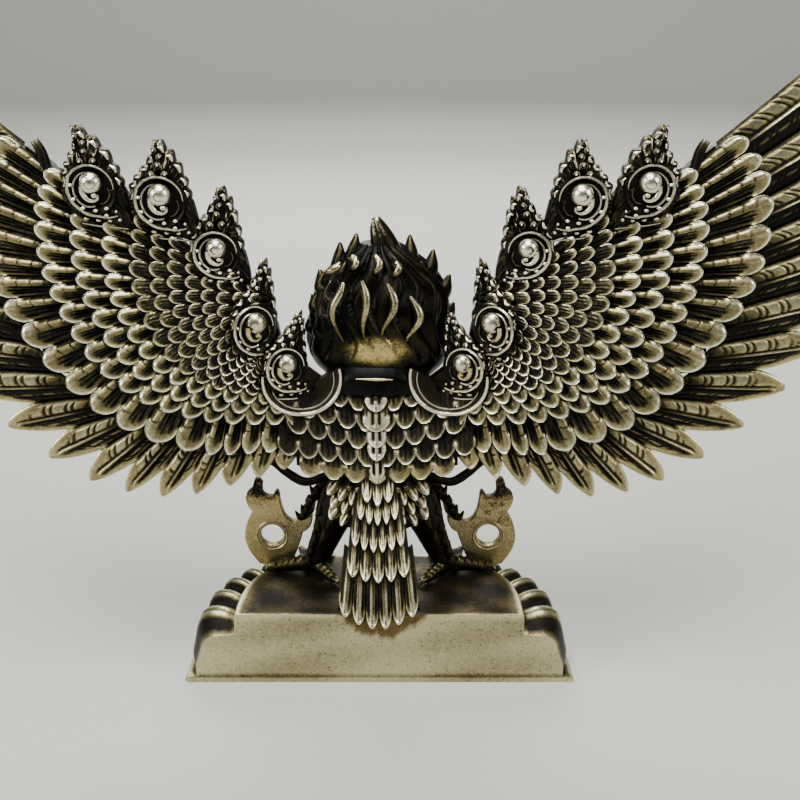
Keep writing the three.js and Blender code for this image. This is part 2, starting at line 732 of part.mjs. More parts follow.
function flamingRing(side) {
  const rest = PLINTH_HEIGHT + CLEARANCE - RING.z;
  const shape = new THREE.Shape();
  shape.moveTo(6.9, -7);
  shape.lineTo(4.6, rest + 0.8);
  shape.quadraticCurveTo(-1, rest - 0.8, -6.6, rest + 2.4);
  shape.lineTo(-10, 1);
  shape.lineTo(-13.4, 6);
  shape.lineTo(-11.6, 9.6);
  shape.quadraticCurveTo(-8.6, 2.2, -5, 6.2);
  shape.quadraticCurveTo(-3.4, 8.6, -3, 13.4);
  shape.lineTo(-2.2, 15.6);
  shape.lineTo(-0.8, 13.6);
  shape.quadraticCurveTo(3.4, 13.2, 2.2, 18);
  shape.quadraticCurveTo(4.6, 22.4, 5.6, 16.2);
  shape.quadraticCurveTo(10.2, 13.6, 5.9, 8);
  shape.quadraticCurveTo(11.4, 0, 6.9, -7);
  const holePoints = Array.from({ length: 12 }, (_, k) => {
    const turn = (2 * Math.PI * k) / 12;
    return new THREE.Vector2(RING.hole * Math.cos(turn), RING.hole * Math.sin(turn));
  });
  shape.holes.push(new THREE.Path(holePoints));
  return extruded(shape, RING.thickness, (p) => v3(side * (RING.x + p.x), RING.y - p.z, RING.z + p.y));
}

// The scarf: a loop from the arm round to the waist, and an end that falls to the flaming ring
function scarf(side) {
  const at = (x, y, z) => v3(side * x, y, z);
  const loop = sampledLimb(
    [at(31, 15, 68), at(28, 13, 64), at(22.5, 11, 59.8), at(15, 8, 60.5)],
    () => 1.6,
    4,
    4,
  );
  const fall = sampledLimb(
    [at(14, 7, 61), at(18.6, 5.5, 55), at(21.6, 1.5, 48), at(24, -3.5, 42)],
    (t) => mix(1.6, 2.2, t),
    4,
    4,
  );
  return [loop, fall];
}

function figure() {
  const solids = [
    ...[-1, 1].flatMap((side) => [
      wing(side), ...CRESTS.flatMap((crest) => crestSolids(side, crest)), dish(side), curl(side),
      flamingRing(side), ...scarf(side),
    ]),
    torso(), hair(), ...bulges(), ...beak(), ...mane(), ...diadem(), ...arms(), ...legs(), mantle(),
    ...hips(), tail(),
  ];
  // The cast is solid: where feathers meet round a small hollow, only the outer shell is kept.
  const welded = mergeVertices(geometryOf(Manifold.union(solids)), WELD);
  const shells = solidFrom(welded, (p) => p).decompose();
  return shells.sort((a, b) => b.volume() - a.volume())[0];
}

function geometryOf(solid) {
  const { vertProperties, triVerts } = solid.getMesh();
  const geometry = new THREE.BufferGeometry();
  geometry.setAttribute('position', new THREE.BufferAttribute(vertProperties, 3));
  geometry.setIndex(new THREE.BufferAttribute(triVerts, 1));
  return geometry;
}

function meshOf(name, solid, material) {
  const mesh = new THREE.Mesh(geometryOf(solid), material);
  mesh.name = name;
  return mesh;
}

const whiteBronze = new THREE.MeshStandardMaterial({ color: 0x8d8672, roughness: 0.38, metalness: 1 });
const paleBronze = new THREE.MeshStandardMaterial({ color: 0xb5ad88, roughness: 0.42, metalness: 1 });

const base = plinth();
const garuda = figure();
const model = new THREE.Group();
model.add(meshOf('plinth', base, paleBronze));
const cast = meshOf('garuda_figure', garuda, whiteBronze);
cast.geometry.applyMatrix4(new THREE.Matrix4().makeShear(0, 0, 0, 0, LEAN, 0));
cast.position.x = -LEAN * PLINTH_HEIGHT;
model.add(cast);

export default model;
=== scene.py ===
from math import cos, pi, radians, sin

import bpy
import numpy as np
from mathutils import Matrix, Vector
from mathutils.bvhtree import BVHTree


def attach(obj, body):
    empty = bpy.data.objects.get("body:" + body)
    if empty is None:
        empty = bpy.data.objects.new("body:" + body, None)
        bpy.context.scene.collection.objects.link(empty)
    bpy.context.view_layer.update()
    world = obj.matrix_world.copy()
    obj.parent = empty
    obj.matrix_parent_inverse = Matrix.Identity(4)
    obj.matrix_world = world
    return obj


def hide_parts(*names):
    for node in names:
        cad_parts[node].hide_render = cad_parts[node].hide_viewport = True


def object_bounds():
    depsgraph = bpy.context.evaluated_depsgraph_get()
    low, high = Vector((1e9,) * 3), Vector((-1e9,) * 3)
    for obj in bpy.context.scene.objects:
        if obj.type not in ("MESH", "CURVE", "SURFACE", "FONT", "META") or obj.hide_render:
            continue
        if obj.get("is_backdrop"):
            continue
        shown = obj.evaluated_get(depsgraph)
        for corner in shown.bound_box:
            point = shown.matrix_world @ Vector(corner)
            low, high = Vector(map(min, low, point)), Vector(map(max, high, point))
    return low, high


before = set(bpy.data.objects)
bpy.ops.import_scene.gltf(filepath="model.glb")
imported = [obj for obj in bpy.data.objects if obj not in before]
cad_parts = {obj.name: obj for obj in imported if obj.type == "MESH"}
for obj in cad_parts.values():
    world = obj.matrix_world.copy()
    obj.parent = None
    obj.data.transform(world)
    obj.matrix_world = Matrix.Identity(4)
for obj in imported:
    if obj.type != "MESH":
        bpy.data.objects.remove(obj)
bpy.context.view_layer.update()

# Camera. The figure is seen from behind and from a little above, from about a third of a metre away. The
# wing tips lie just outside the picture.
view = bpy.data.cameras.new("view")
view.lens = 48.6
view.sensor_width = 36
view.clip_start = 0.01
camera = bpy.data.objects.new("camera", view)
camera.location = (-0.0063, 0.315, 0.188)
camera.rotation_euler = (radians(71.42), 0, radians(180))
bpy.context.collection.objects.link(camera)
bpy.context.scene.camera = camera

# Plinth. A solid casting in pale white bronze, half round in plan and flat behind, in two tiers. Lotus
# petals swell round its front, the flat back is dressed and finely pitted, and the top is dark.
MM = 0.001
TOP_HALF_WIDTH = 43.6
TOP_DEPTH = 40
BACK_Y = 28
PLINTH_HEIGHT = 23.5
PETALS = 15
POINTS_PER_PETAL = 14
PETAL_SWELL = 3.6
POINTS_BEHIND = 60


def loft(rings, tones, round_trip=False):
    """Rings of points joined side to side. The ends are closed by fans, or joined to each other."""
    rings = np.asarray(rings, float)
    stations, around = rings.shape[:2]
    tones = np.broadcast_to(np.asarray(tones, float), (stations, around, 2))
    points = rings.reshape(-1, 3)
    marks = tones.reshape(-1, 2)
    rows = stations if round_trip else stations - 1
    first = (np.arange(rows) * around)[:, None]
    second = ((np.arange(rows) + 1) % stations * around)[:, None]
    k = np.arange(around)[None, :]
    n = (k + 1) % around
    a, b, c, d = [x.ravel() for x in (first + k, first + n, second + n, second + k)]
    faces = [np.c_[a, b, c], np.c_[a, c, d]]
    if not round_trip:
        low, high = len(points), len(points) + 1
        points = np.vstack([points, rings[0].mean(0), rings[-1].mean(0)])
        marks = np.vstack([marks, tones[0].mean(0), tones[-1].mean(0)])
        last = (stations - 1) * around
        k, n = k.ravel(), n.ravel()
        faces += [np.c_[np.full(around, low), n, k], np.c_[np.full(around, high), last + k, last + n]]
    return outward(points, np.vstack(faces), marks)


def outward(points, faces, marks):
    """Turns the faces of a closed body so that they face out of it."""
    a, b, c = (points[faces[:, i]] for i in range(3))
    if np.einsum("ij,ij->", a, np.cross(b, c)) < 0:
        faces = faces[:, ::-1]
    return points, faces, marks


def cast(name, parts, metal, lean=0.0, crisp=50):
    """One object from closed bodies in millimetres, each with its rub and gold marks."""
    starts = np.cumsum([0] + [len(p[0]) for p in parts])
    points = np.vstack([p[0] for p in parts])
    faces = np.vstack([p[1] + s for p, s in zip(parts, starts)])
    marks = np.vstack([p[2] for p in parts])
    points[:, 0] += lean * (points[:, 2] - PLINTH_HEIGHT)
    mesh = bpy.data.meshes.new(name)
    mesh.vertices.add(len(points))
    mesh.vertices.foreach_set("co", (points * MM).ravel())
    mesh.loops.add(faces.size)
    mesh.loops.foreach_set("vertex_index", faces.ravel().astype(np.int32))
    mesh.polygons.add(len(faces))
    mesh.polygons.foreach_set("loop_start", np.arange(0, faces.size, 3, dtype=np.int32))
    mesh.update(calc_edges=True)
    patina = mesh.attributes.new("patina", "FLOAT_COLOR", "POINT")
    colours = np.c_[np.clip(marks, 0, 1), np.ones(len(points)), np.ones(len(points))]
    patina.data.foreach_set("color", colours.ravel())
    mesh.polygons.foreach_set("use_smooth", np.ones(len(faces), bool))
    mesh.set_sharp_from_angle(angle=radians(crisp))
    mesh.materials.append(metal)
    piece = bpy.data.objects.new(name, mesh)
    bpy.context.collection.objects.link(piece)
    return piece


def bronze(name, pale, brown, gold, dark, rough, pits, blotch):
    """Antiqued white bronze: rubbed metal on the high places, dark patina in the hollows."""
    metal = bpy.data.materials.new(name)
    metal.use_nodes = True
    nodes, links = metal.node_tree.nodes, metal.node_tree.links
    nodes.clear()

    def node(kind, inputs, **settings):
        """A shader node, with its inputs set to values or joined to other nodes."""
        made = nodes.new(kind)
        for key, value in settings.items():
            setattr(made, key, value)
        for key, value in inputs.items():
            if isinstance(value, bpy.types.NodeSocket):
                links.new(value, made.inputs[key])
            else:
                made.inputs[key].default_value = value
        return made

    def maths(operation, a, b, clamp=False):
        return node("ShaderNodeMath", {0: a, 1: b}, operation=operation, use_clamp=clamp).outputs[0]

    def plus(a, b, share, clamp=False):
        """a with a share of b added to it."""
        return maths("ADD", a, maths("MULTIPLY", b, share), clamp)

    def centred(a):
        return maths("SUBTRACT", a, 0.5)

    place = node("ShaderNodeTexCoord", {}).outputs["Object"]

    def cloud(scale, detail=3.0, roughness=0.55):
        noise = {"Vector": place, "Scale": scale, "Detail": detail, "Roughness": roughness}
        return node("ShaderNodeTexNoise", noise).outputs[0]

    marks = node("ShaderNodeAttribute", {}, attribute_name="patina").outputs["Color"]
    rub, tint, open_sky = node("ShaderNodeSeparateColor", {0: marks}).outputs
    broad = cloud(130)
    fine = cloud(900, 4.0, 0.65)
    grain = cloud(4200, 2.0)
    pit = node("ShaderNodeTexVoronoi", {"Vector": place, "Scale": 1150.0, "Randomness": 1.0})
    pit_depth = maths("SUBTRACT", 1.0, maths("MULTIPLY", pit.outputs["Distance"], 3.2, True), True)
    pit_here = maths("MULTIPLY", pit_depth, maths("GREATER_THAN", cloud(420, 2.0), 0.53))
    # Height of the polish: what was rubbed bright, less the hollows, the blotches and the pits.
    sky_range = {"Value": open_sky, "From Min": 0.3, "From Max": 0.82}
    clear = node("ShaderNodeMapRange", sky_range, interpolation_type="SMOOTHSTEP").outputs[0]
    polish = plus(maths("MULTIPLY", rub, clear), centred(fine), blotch * 1.3)
    polish = plus(polish, centred(broad), blotch)
    polish = plus(polish, maths("MULTIPLY", tint, centred(cloud(2100, 2.0, 0.7))), blotch * 2.4)
    polish = maths("SUBTRACT", polish, maths("MULTIPLY", pit_here, pits * 0.7), True)
    ramp = node("ShaderNodeValToRGB", {0: polish})
    stops = ramp.color_ramp.elements
    stops[0].position, stops[0].color = 0.16, (*dark, 1)
    stops[1].position, stops[1].color = 0.84, (*pale, 1)
    stops.new(0.44).color = (*brown, 1)
    golden = maths("MULTIPLY", tint, maths("MULTIPLY", broad, 1.7, True), True)
    golden = maths("MULTIPLY", golden, maths("MULTIPLY", polish, 1.6, True), True)
    colour = {"Factor": golden, 6: ramp.outputs["Color"], 7: (*gold, 1)}
    dull = maths("MULTIPLY", maths("SUBTRACT", 1.0, polish, True), rough[0] - rough[1])
    height = plus(maths("MULTIPLY", fine, 0.5), grain, 0.12)
    height = maths("SUBTRACT", height, maths("MULTIPLY", pit_here, pits))
    bump = node("ShaderNodeBump", {"Strength": 0.6, "Distance": 0.00025, "Height": height})
    shader = node("ShaderNodeBsdfPrincipled", {
        "Base Color": node("ShaderNodeMix", colour, data_type="RGBA").outputs[2],
        "Specular IOR Level": 0.3,
        "Metallic": plus(0.7, polish, 0.9, True),
        "Roughness": plus(maths("ADD", dull, rough[1]), centred(grain), 0.22, True),
        "Normal": bump.outputs["Normal"],
    })
    node("ShaderNodeOutputMaterial", {0: shader.outputs[0]})
    return metal


def plan(share, reach):
    """A point of the plinth's half-round plan, from its left end round the front to its right end."""
    turn = pi * np.asarray(share)
    x = -(TOP_HALF_WIDTH + reach) * np.sign(np.cos(turn)) * np.abs(np.cos(turn)) ** (2 / 3)
    y = BACK_Y - (TOP_DEPTH + reach) * np.clip(np.sin(turn), 0, 1) ** (2 / 3)
    return x, y


def smooth(x, low, high):
    """Rises gently from 0 at low to 1 at high."""
    t = np.clip((x - low) / (high - low), 0, 1)
    return t * t * (3 - 2 * t)


def bell(x, at, width):
    """1 at a place, and falling off to both sides of it."""
    return np.exp(-((x - at) / width) ** 2)


def plinth_tone(ring, swell, petal):
    """Bright where hands and cloths rub, brown round the tail tips on the flat back."""
    x, y, z = ring.T
    behind = y > BACK_Y - 0.1
    edge = 15.6 + 0.045 * (x + 1) ** 2 + 0.6 * np.sin(0.7 * x + 1) + 0.4 * np.sin(1.9 * x)
    stain = smooth(z, edge - 0.8, edge + 1.4) * (np.abs(x + 1) < 14) * behind
    petal_rub = 0.95 * smooth(swell, 0.6, 0.99) ** 2
    drift = 0.07 * np.sin(0.11 * x + 2) + 0.05 * np.sin(0.45 * z + 0.09 * x)
    rub = np.where((petal > 0) & ~behind, petal_rub, 0.73 + drift) - 0.42 * stain
    rub = rub + 0.35 * bell(z, 22.9, 0.5) * (1 - 0.8 * stain) - 0.35 * (bell(z, 2.2, 0.5) * behind)
    return np.c_[rub, np.full(len(ring), 0.3) + 0.6 * stain]


# Height, reach beyond the top's edge, petal swell and petal lift of each level ring of the body
body_tiers = [
    (0, 15.6, 0, 0), (0.4, 15.97, 0, 0), (1.2, 15.97, 0, 0), (1.7, 15.5, 0, 0), (2, 12.6, 0.4, 0),
    (3.5, 12.5, 0.62, 0), (6, 12.2, 0.85, 0), (9.9, 10.84, 1, 0), (12.4, 10.2, 1, 0.22),
    (14.2, 9.5, 0.98, 0.45), (15.4, 8.6, 0.92, 0.66), (16, 7.4, 0.7, 0.86), (16.15, 6, 0.45, 0.97),
    (16.1, 4.55, 0.2, 1), (16.3, 1.8, 0.06, 0.7), (16.5, 0.3, 0, 0.2),
    *[(z, 0.12, 0, 0) for z in (17, 18.2, 19.5, 21, 22.3)], (23.1, 0, 0, 0), (23.5, -0.45, 0, 0),
]
share = np.linspace(0, 1, PETALS * POINTS_PER_PETAL + 1)
swell = np.abs(np.sin(pi * share * PETALS))
swell = swell ** 0.6 - 0.16 * bell(swell, 1, 0.012)
body_rings, body_tones = [], []
for z, reach, petal, lift in body_tiers:
    x, y = plan(share, reach + PETAL_SWELL * petal * swell)
    front = np.c_[x, y, z + PETAL_SWELL * lift * swell]
    behind = np.linspace(front[-1], front[0], POINTS_BEHIND + 2)[1:-1]
    body_rings.append(np.vstack([front, behind]))
    body_tones.append(plinth_tone(body_rings[-1], np.r_[swell, np.zeros(POINTS_BEHIND)], petal))
top_edge = body_rings[-1]
for inset in (0.96, 0.9, 0.84, 0.76, 0.68, 0.58, 0.46, 0.3, 0.15):
    shrunk = (top_edge - [0, 8, 0]) * [inset, inset, 1] + [0, 8, 0]
    body_rings.append(shrunk)
    x, y, _ = shrunk.T
    cloudy = np.sin(0.23 * x + 0.6) * np.sin(0.41 * y + 0.11 * x)
    body_tones.append(np.c_[0.19 + 0.09 * cloudy + 0.17 * (inset > 0.9), np.full(len(shrunk), 0.3)])
plinth_metal = bronze(
    "plinth_white_bronze", pale=(0.68, 0.64, 0.39), brown=(0.12, 0.095, 0.046), gold=(0.16, 0.1, 0.035),
    dark=(0.006, 0.005, 0.003), rough=(0.52, 0.3), pits=0.8, blotch=0.27,
)
plinth_body = cast("plinth_body", [loft(body_rings, body_tones)], plinth_metal, crisp=35)
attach(plinth_body, "root")
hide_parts("plinth")

# Legs and feet. Two thick bird's legs, spread wide, with scaled shins and four clawed toes each, cast
# in one with the figure. The metal has kept its black patina here, with faint rubbed places.
LEAN = 0.011
GROUND = PLINTH_HEIGHT + 0.3


def curve(points):
    """A smooth curve through the points, as a function of the share of the way along it."""
    p = np.asarray(points, float)
    ends = np.vstack([2 * p[0] - p[1], p, 2 * p[-1] - p[-2]])
    gaps = np.maximum(np.sum(np.diff(ends, axis=0) ** 2, axis=1), 1e-9) ** 0.25

    def at(share):
        place = np.asarray(share, float) * (len(p) - 1)
        i = np.clip(place.astype(int), 0, len(p) - 2)
        w = (place - i)[..., None]
        d0, d1, d2 = (gaps[i + k][..., None] for k in range(3))
        x0, x1, x2, x3 = (ends[i + k] for k in range(4))
        m1 = ((x1 - x0) / d0 - (x2 - x0) / (d0 + d1) + (x2 - x1) / d1) * d1
        m2 = ((x2 - x1) / d1 - (x3 - x1) / (d1 + d2) + (x3 - x2) / d2) * d1
        return x1 + w * (m1 + w * (3 * (x2 - x1) - 2 * m1 - m2 + w * (2 * (x1 - x2) + m1 + m2)))

    return at


def bar(points, radii, steps, sides, flat=1.0, rub=0.4, power=1, gold=0.1, guide=(0, 1, 0)):
    """A round bar through the points. Its radii, and a pair of rub marks, are spread evenly along it."""
    share = np.linspace(0, 1, steps + 1)
    spine = curve(points)(share)
    radius = np.interp(share, np.linspace(0, 1, len(radii)), radii)
    along = np.gradient(spine, axis=0)
    along /= np.linalg.norm(along, axis=1)[:, None]
    across = np.cross(along, guide)
    across /= np.linalg.norm(across, axis=1)[:, None]
    depth = np.cross(across, along)
    turn = 2 * pi * np.arange(sides) / sides
    ring = np.cos(turn)[None, :, None] * across[:, None]
    ring = ring + flat * np.sin(turn)[None, :, None] * depth[:, None]
    if isinstance(rub, tuple):
        rub = np.linspace(*rub, steps + 1) ** power
    rub = np.broadcast_to(np.asarray(rub, float).reshape(-1, 1), (steps + 1, sides))
    return loft(spine[:, None] + radius[:, None, None] * ring, np.stack([rub, np.full_like(rub, gold)], 2))


def bead(centre, size, rub=0.9, gold=0.1, around=9, down=6):
    """A small rounded lump."""
    size = np.broadcast_to(np.asarray(size, float), 3)
    turn = 2 * pi * np.arange(around) / around
    rings = []
    for k in range(down):
        slope = pi * (k + 0.5) / down
        ring = np.c_[sin(slope) * np.cos(turn), sin(slope) * np.sin(turn), np.full(around, cos(slope))]
        rings.append(ring * size + centre)
    return loft(rings, (rub, gold))


LEG_RADII = (7.9, 6.9, 5.1, 3.8, 3.3)
SHIN_SCALES = 9
# Share of the way down the leg, how far round its side, and which way the end turns, for each tuft
TUFTS = (
    (0.12, 0.9, 1), (0.2, -0.7, -1), (0.26, 0.9, 1), (0.32, 0.1, 1), (0.36, -0.7, -1), (0.44, 0.85, 1),
    (0.52, 0.2, 1), (0.58, 0.85, 1), (0.7, 0.9, 1), (0.84, 0.85, 1),
)
legs = []
for side in (-1, 1):
    s = np.array([side, 1, 1])
    leg_line = np.array([(8.5, 5, 61), (12.5, 4, 50), (15.6, 3, 41), (18.6, 3, 33), (21, 3, 27.4)]) * s
    legs.append(bar(leg_line, LEG_RADII, 40, 20, rub=(0.05, 0.2)))
    for k in range(SHIN_SCALES):
        share = 0.52 + 0.05 * k
        thick = 1.01 * np.interp(share, np.linspace(0, 1, 5), LEG_RADII)
        legs.append(bead(curve(leg_line)(share), (thick, thick, 1.0), 0.16, 0.2, 20, 5))
    # Flame tufts lie down the leg, with their ends turned out.
    for k, (share, out, way) in enumerate(TUFTS):
        thick = np.interp(share, np.linspace(0, 1, 5), LEG_RADII)
        root = curve(leg_line)(share) + [side * out * thick * 0.8, thick * 0.75 * (1 - 0.6 * abs(out)), 2]
        end = root + [side * way * 2.2, 1.2, -6.2 + 0.5 * (k % 3)]
        tuft = [root, root + [side * way * 0.7, 1.0, -3.4], end]
        legs.append(bar(tuft, [1.4, 1.7, 0.35], 14, 8, rub=(0.05, 0.42)))
    # Four toes, each with four knuckles and a curved claw
    for x, y in ((34, 0), (26, -10), (17, -11), (14.5, 9)):
        start = np.array([21, 3, 28.2])
        tip = np.array([x, y, GROUND + 1.1])
        bend = start + (tip - start) * 0.55
        bend[2] = GROUND + 2.9
        toe_line = np.array([start, bend, tip]) * s
        legs.append(bar(toe_line, [2.9, 2.2, 1.3], 20, 12, rub=(0.06, 0.26)))
        for share in (0.3, 0.48, 0.66, 0.84):
            knuckle = curve(toe_line)(share)
            wide = 2.7 - 1.1 * share
            legs.append(bead(knuckle + [0, 0, 0.4], (wide, wide, 2.9 - 1.4 * share), 0.3, 0.3, 12, 8))
        way = (tip - start) / np.linalg.norm(tip - start)
        claw = np.array([tip + [0, 0, 0.5], tip + way * 2 + [0, 0, 1.1], tip + way * 3.6 - [0, 0, 0.2]]) * s
        legs.append(bar(claw, [1.3, 1.1, 0.2], 12, 9, rub=(0.2, 0.75), gold=0.3))
dark_metal = bronze(
    "dark_bronze", pale=(0.62, 0.57, 0.42), brown=(0.014, 0.0125, 0.0095), gold=(0.42, 0.33, 0.12),
    dark=(0.0014, 0.0013, 0.0012), rough=(0.42, 0.24), pits=0.35, blotch=0.22,
)
legs_and_feet = cast("legs_and_feet", legs, dark_metal, LEAN)
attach(legs_and_feet, "root")
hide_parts("garuda_figure")

# Flaming rings. Two flat cast plates stand beside the legs, each with a round hole and flame tongues.
# They are brassy and pitted, with the edges eased by hand.
SIDES = ((-1, "right"), (1, "left"))
RING_X, RING_Y, RING_Z = 35, -3, 34.8
HOLE_RADIUS = 3.7
LIP_RADIUS = 4.9
PLATE_EASE = 0.45
ring_metal = bronze(
    "ring_plate_bronze", pale=(0.62, 0.56, 0.36), brown=(0.17, 0.13, 0.055), gold=(0.4, 0.31, 0.13),
    dark=(0.006, 0.005, 0.003), rough=(0.55, 0.3), pits=1.0, blotch=0.75,
)
# The plate's edge runs on in arcs. Each has the point it is pulled toward, its end and its steps.
rest = GROUND - RING_Z
plate_edge = [np.array([[6.9, -7], [4.6, rest + 0.8]])]
for middle, end, steps in (
    ((-1, rest - 0.8), (-6.6, rest + 2.4), 8), ((-9.4, -2), (-10, 1), 3), ((-12.8, 2), (-13.4, 6), 5),
    ((-13, 8.6), (-11.6, 9.6), 3), ((-8.6, 2.2), (-5, 6.2), 10), ((-3.4, 8.6), (-3, 13.4), 8),
    ((-3, 15), (-2.2, 15.6), 3), ((-1.4, 15), (-0.8, 13.6), 3), ((3.4, 13.2), (2.2, 18), 10),
    ((4.6, 22.4), (5.6, 16.2), 10), ((10.2, 13.6), (5.9, 8), 12), ((11.4, 0), (6.9, -7), 14),
):
    t = np.linspace(0, 1, steps + 1)[1:, None]
    pulled = (1 - t) ** 2 * plate_edge[-1][-1] + 2 * t * (1 - t) * np.array(middle)
    plate_edge.append(pulled + t ** 2 * np.array(end))
plate_edge = np.vstack(plate_edge)[:-1]
for side, name in SIDES:
    outline = bpy.data.curves.new("ring_outline", "CURVE")
    outline.dimensions = "2D"
    outline.fill_mode = "BOTH"
    outline.extrude = 1.05 * MM
    outline.bevel_depth = PLATE_EASE * MM
    outline.bevel_resolution = 2
    outline.offset = -PLATE_EASE * MM
    turn = 2 * pi * np.arange(32) / 32
    for line in (plate_edge, HOLE_RADIUS * np.c_[np.cos(turn), -np.sin(turn)]):
        spline = outline.splines.new("POLY")
        spline.points.add(len(line) - 1)
        spline.use_cyclic_u = True
        for point, (x, z) in zip(spline.points, line):
            point.co = (x * MM, z * MM, 0, 1)
    flat_plate = bpy.data.objects.new("flat_plate", outline)
    bpy.context.collection.objects.link(flat_plate)
    depsgraph = bpy.context.evaluated_depsgraph_get()
    flat_mesh = bpy.data.meshes.new_from_object(flat_plate.evaluated_get(depsgraph))
    bpy.data.objects.remove(flat_plate)
    across, high, deep = np.array([v.co for v in flat_mesh.vertices]).T / MM
    flat_mesh.calc_loop_triangles()
    corners = np.array([t.vertices for t in flat_mesh.loop_triangles])
    bpy.data.meshes.remove(flat_mesh)
    points = np.c_[side * (RING_X + across), RING_Y - 1.5 + deep, RING_Z + high]
    blot = np.sin(1.3 * across + 2) * np.sin(0.9 * high + 0.5 * across) * 0.16
    rub = 0.66 + blot - 0.3 * (np.abs(deep) < 1.2) - 0.6 * smooth(high, 11, 16)
    parts = [outward(points, corners, np.c_[rub, np.full(len(points), 0.8)])]
    # A rolled lip round the hole, on both faces
    round_hole = np.c_[np.cos(turn) * side, 0 * turn, np.sin(turn)]
    for face in (0.1, -3.1):
        lip = LIP_RADIUS * round_hole + [side * RING_X, RING_Y + face, RING_Z]
        up, wide = np.array([0, 0.22, 0]), 0.32 * round_hole
        parts.append(loft([lip + up, lip + wide, lip - up, lip - wide], (0.8, 0.7), round_trip=True))
    flaming_ring = cast("flaming_ring_" + name, parts, ring_metal, LEAN, 40)
    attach(flaming_ring, "root")
    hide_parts("garuda_figure")

# Torso and arms. A strong breast and waist, with the arms brought forward and the hands joined. The
# necklace and the belt are beaded, and the arms have plain rings. All of it is left nearly black.


def sectioned(sections, sides=48, steps=40, carve=None):
    """A body lofted through level sections of height, half width, front, back and sideways place."""
    z, half, front, back, aside = curve(sections)(np.linspace(0, 1, steps + 1)).T[:, :, None]
    turn = (2 * pi * (np.arange(sides) + 0.5) / sides)[None, :]
    rings = np.stack([
        aside + half * np.cos(turn),
        (front + back) / 2 + (back - front) / 2 * np.sin(turn),
        z + 0 * turn,
    ], 2)
    tones = np.broadcast_to((0.3, 0.1), (*rings.shape[:2], 2)).copy()
    if carve:
        rings, tones = carve(rings, tones, turn + 0 * z)
    return loft(rings, tones)


NECKLACE_BEADS = 19
BELT_BEADS = 28
torso_line = [
    (50, 9, -1, 14, 0), (58, 13.5, -5, 16, 0), (65, 13, -7, 15.5, 0), (73, 14.5, -8, 16, 0),
    (82, 18.5, -8, 16.5, 0), (88, 17.5, -5, 15, 0), (93, 13.5, -3, 13.5, 0), (98, 11, -4, 12, 0),
]
trunk = [sectioned(torso_line), bead((0, -3, 80), (14, 9, 9), 0.35, 0.1, 36, 20)]
trunk.append(bead((0, -2, 66), (11, 8.5, 9), 0.3, 0.1, 36, 20))
for side in (-1, 1):
    arm_line = np.array([(16, 5, 85), (21, 0, 74), (15, -12, 68), (5, -15.5, 73), (1.8, -15.5, 80)])
    arm_line = arm_line * [side, 1, 1]
    trunk.append(bar(arm_line, [4.4, 4, 3.4, 2.6, 1.9], 40, 16, rub=0.35))
    for share, size in ((0.12, 5), (0.62, 3.6), (0.67, 3.5), (0.78, 3.2)):
        middle = curve(arm_line)(share)
        trunk.append(bead(middle, (size, size, 1.1) if share < 0.5 else (1.1, size, size), 0.6, 0.3, 20, 7))
for row, (high, wide, deep) in enumerate(((91, 12.5, -7.6), (87.5, 14.5, -10.6), (83, 13, -12.6))):
    for k in range(NECKLACE_BEADS):
        turn = pi * (k / (NECKLACE_BEADS - 1))
        hang = sin(turn)
        at = (-wide * cos(turn), 3 + (deep - 3) * hang, high - 3.4 * hang)
        trunk.append(bead(at, 1.0 if row < 2 else (1.0, 0.9, 1.4), 0.7, 0.3, 8, 5))
for k in range(BELT_BEADS):
    turn = 2 * pi * k / BELT_BEADS
    trunk.append(bead((13.6 * cos(turn), 5 + 12.2 * sin(turn), 59), (1.2, 1.2, 1.4), 0.5, 0.3, 8, 5))
torso = cast("torso_and_arms", trunk, dark_metal, LEAN)
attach(torso, "root")
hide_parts("garuda_figure")

# Flight feathers. Seventeen long lance feathers in each wing, cast side by side as one sheet. Each has a
# thin raised shaft between two black grooves, and pairs of black slashes chased across its vanes.
WING_REACH = 143
WING_TOP_Z = 186
QUILLS = 17
FEATHER_CRISP = 75


def back_of_wing(out):
    """How far behind the figure the wing's back stands, at a distance out from the middle."""
    spread = (np.maximum(0, out - 12) / 28) ** 2
    return 14 + 10 * (1 - np.exp(-spread)) - 0.0018 * np.maximum(0, out - 80) ** 2


def row_curve(stations):
    """Tips of one row of feathers: shares of the wing's reach and height, and the way they point."""
    return curve(np.array(stations) * [WING_REACH, WING_TOP_Z, 1])


def stitch(a, b):
    """Triangles between two lines of points of any two lengths."""
    faces, i, j = [], 0, 0
    last_a, last_b = len(a) - 1, len(b) - 1
    while i < last_a or j < last_b:
        if j == last_b or (i < last_a and (i + 1) * last_b <= (j + 1) * last_a):
            faces.append((a[i], a[i + 1], b[j]))
            i += 1
        else:
            faces.append((b[j + 1], b[j], a[i]))
            j += 1
    return faces


def sheet_faces(rows, columns, under):
    """Faces of a thin closed sheet: a fine upper grid, and a coarser one below it."""
    def grid(start, count):
        i = start + (np.arange(count - 1) * columns)[:, None] + np.arange(columns - 1)[None, :]
        i = i.ravel()
        return np.vstack([np.c_[i, i + 1, i + columns + 1], np.c_[i, i + columns + 1, i + columns]])

    base = rows * columns
    top, below = grid(0, rows), grid(base, under)[:, ::-1]
    numbers = np.arange((rows + under) * columns).reshape(-1, columns)
    upper, lower = numbers[:rows], numbers[rows:]
    edges = stitch(lower[0], upper[0]) + stitch(upper[-1], lower[-1])
    edges += stitch(upper[:, 0], lower[:, 0]) + stitch(lower[:, -1], upper[:, -1])
    return np.vstack([top, below, np.array(edges)])


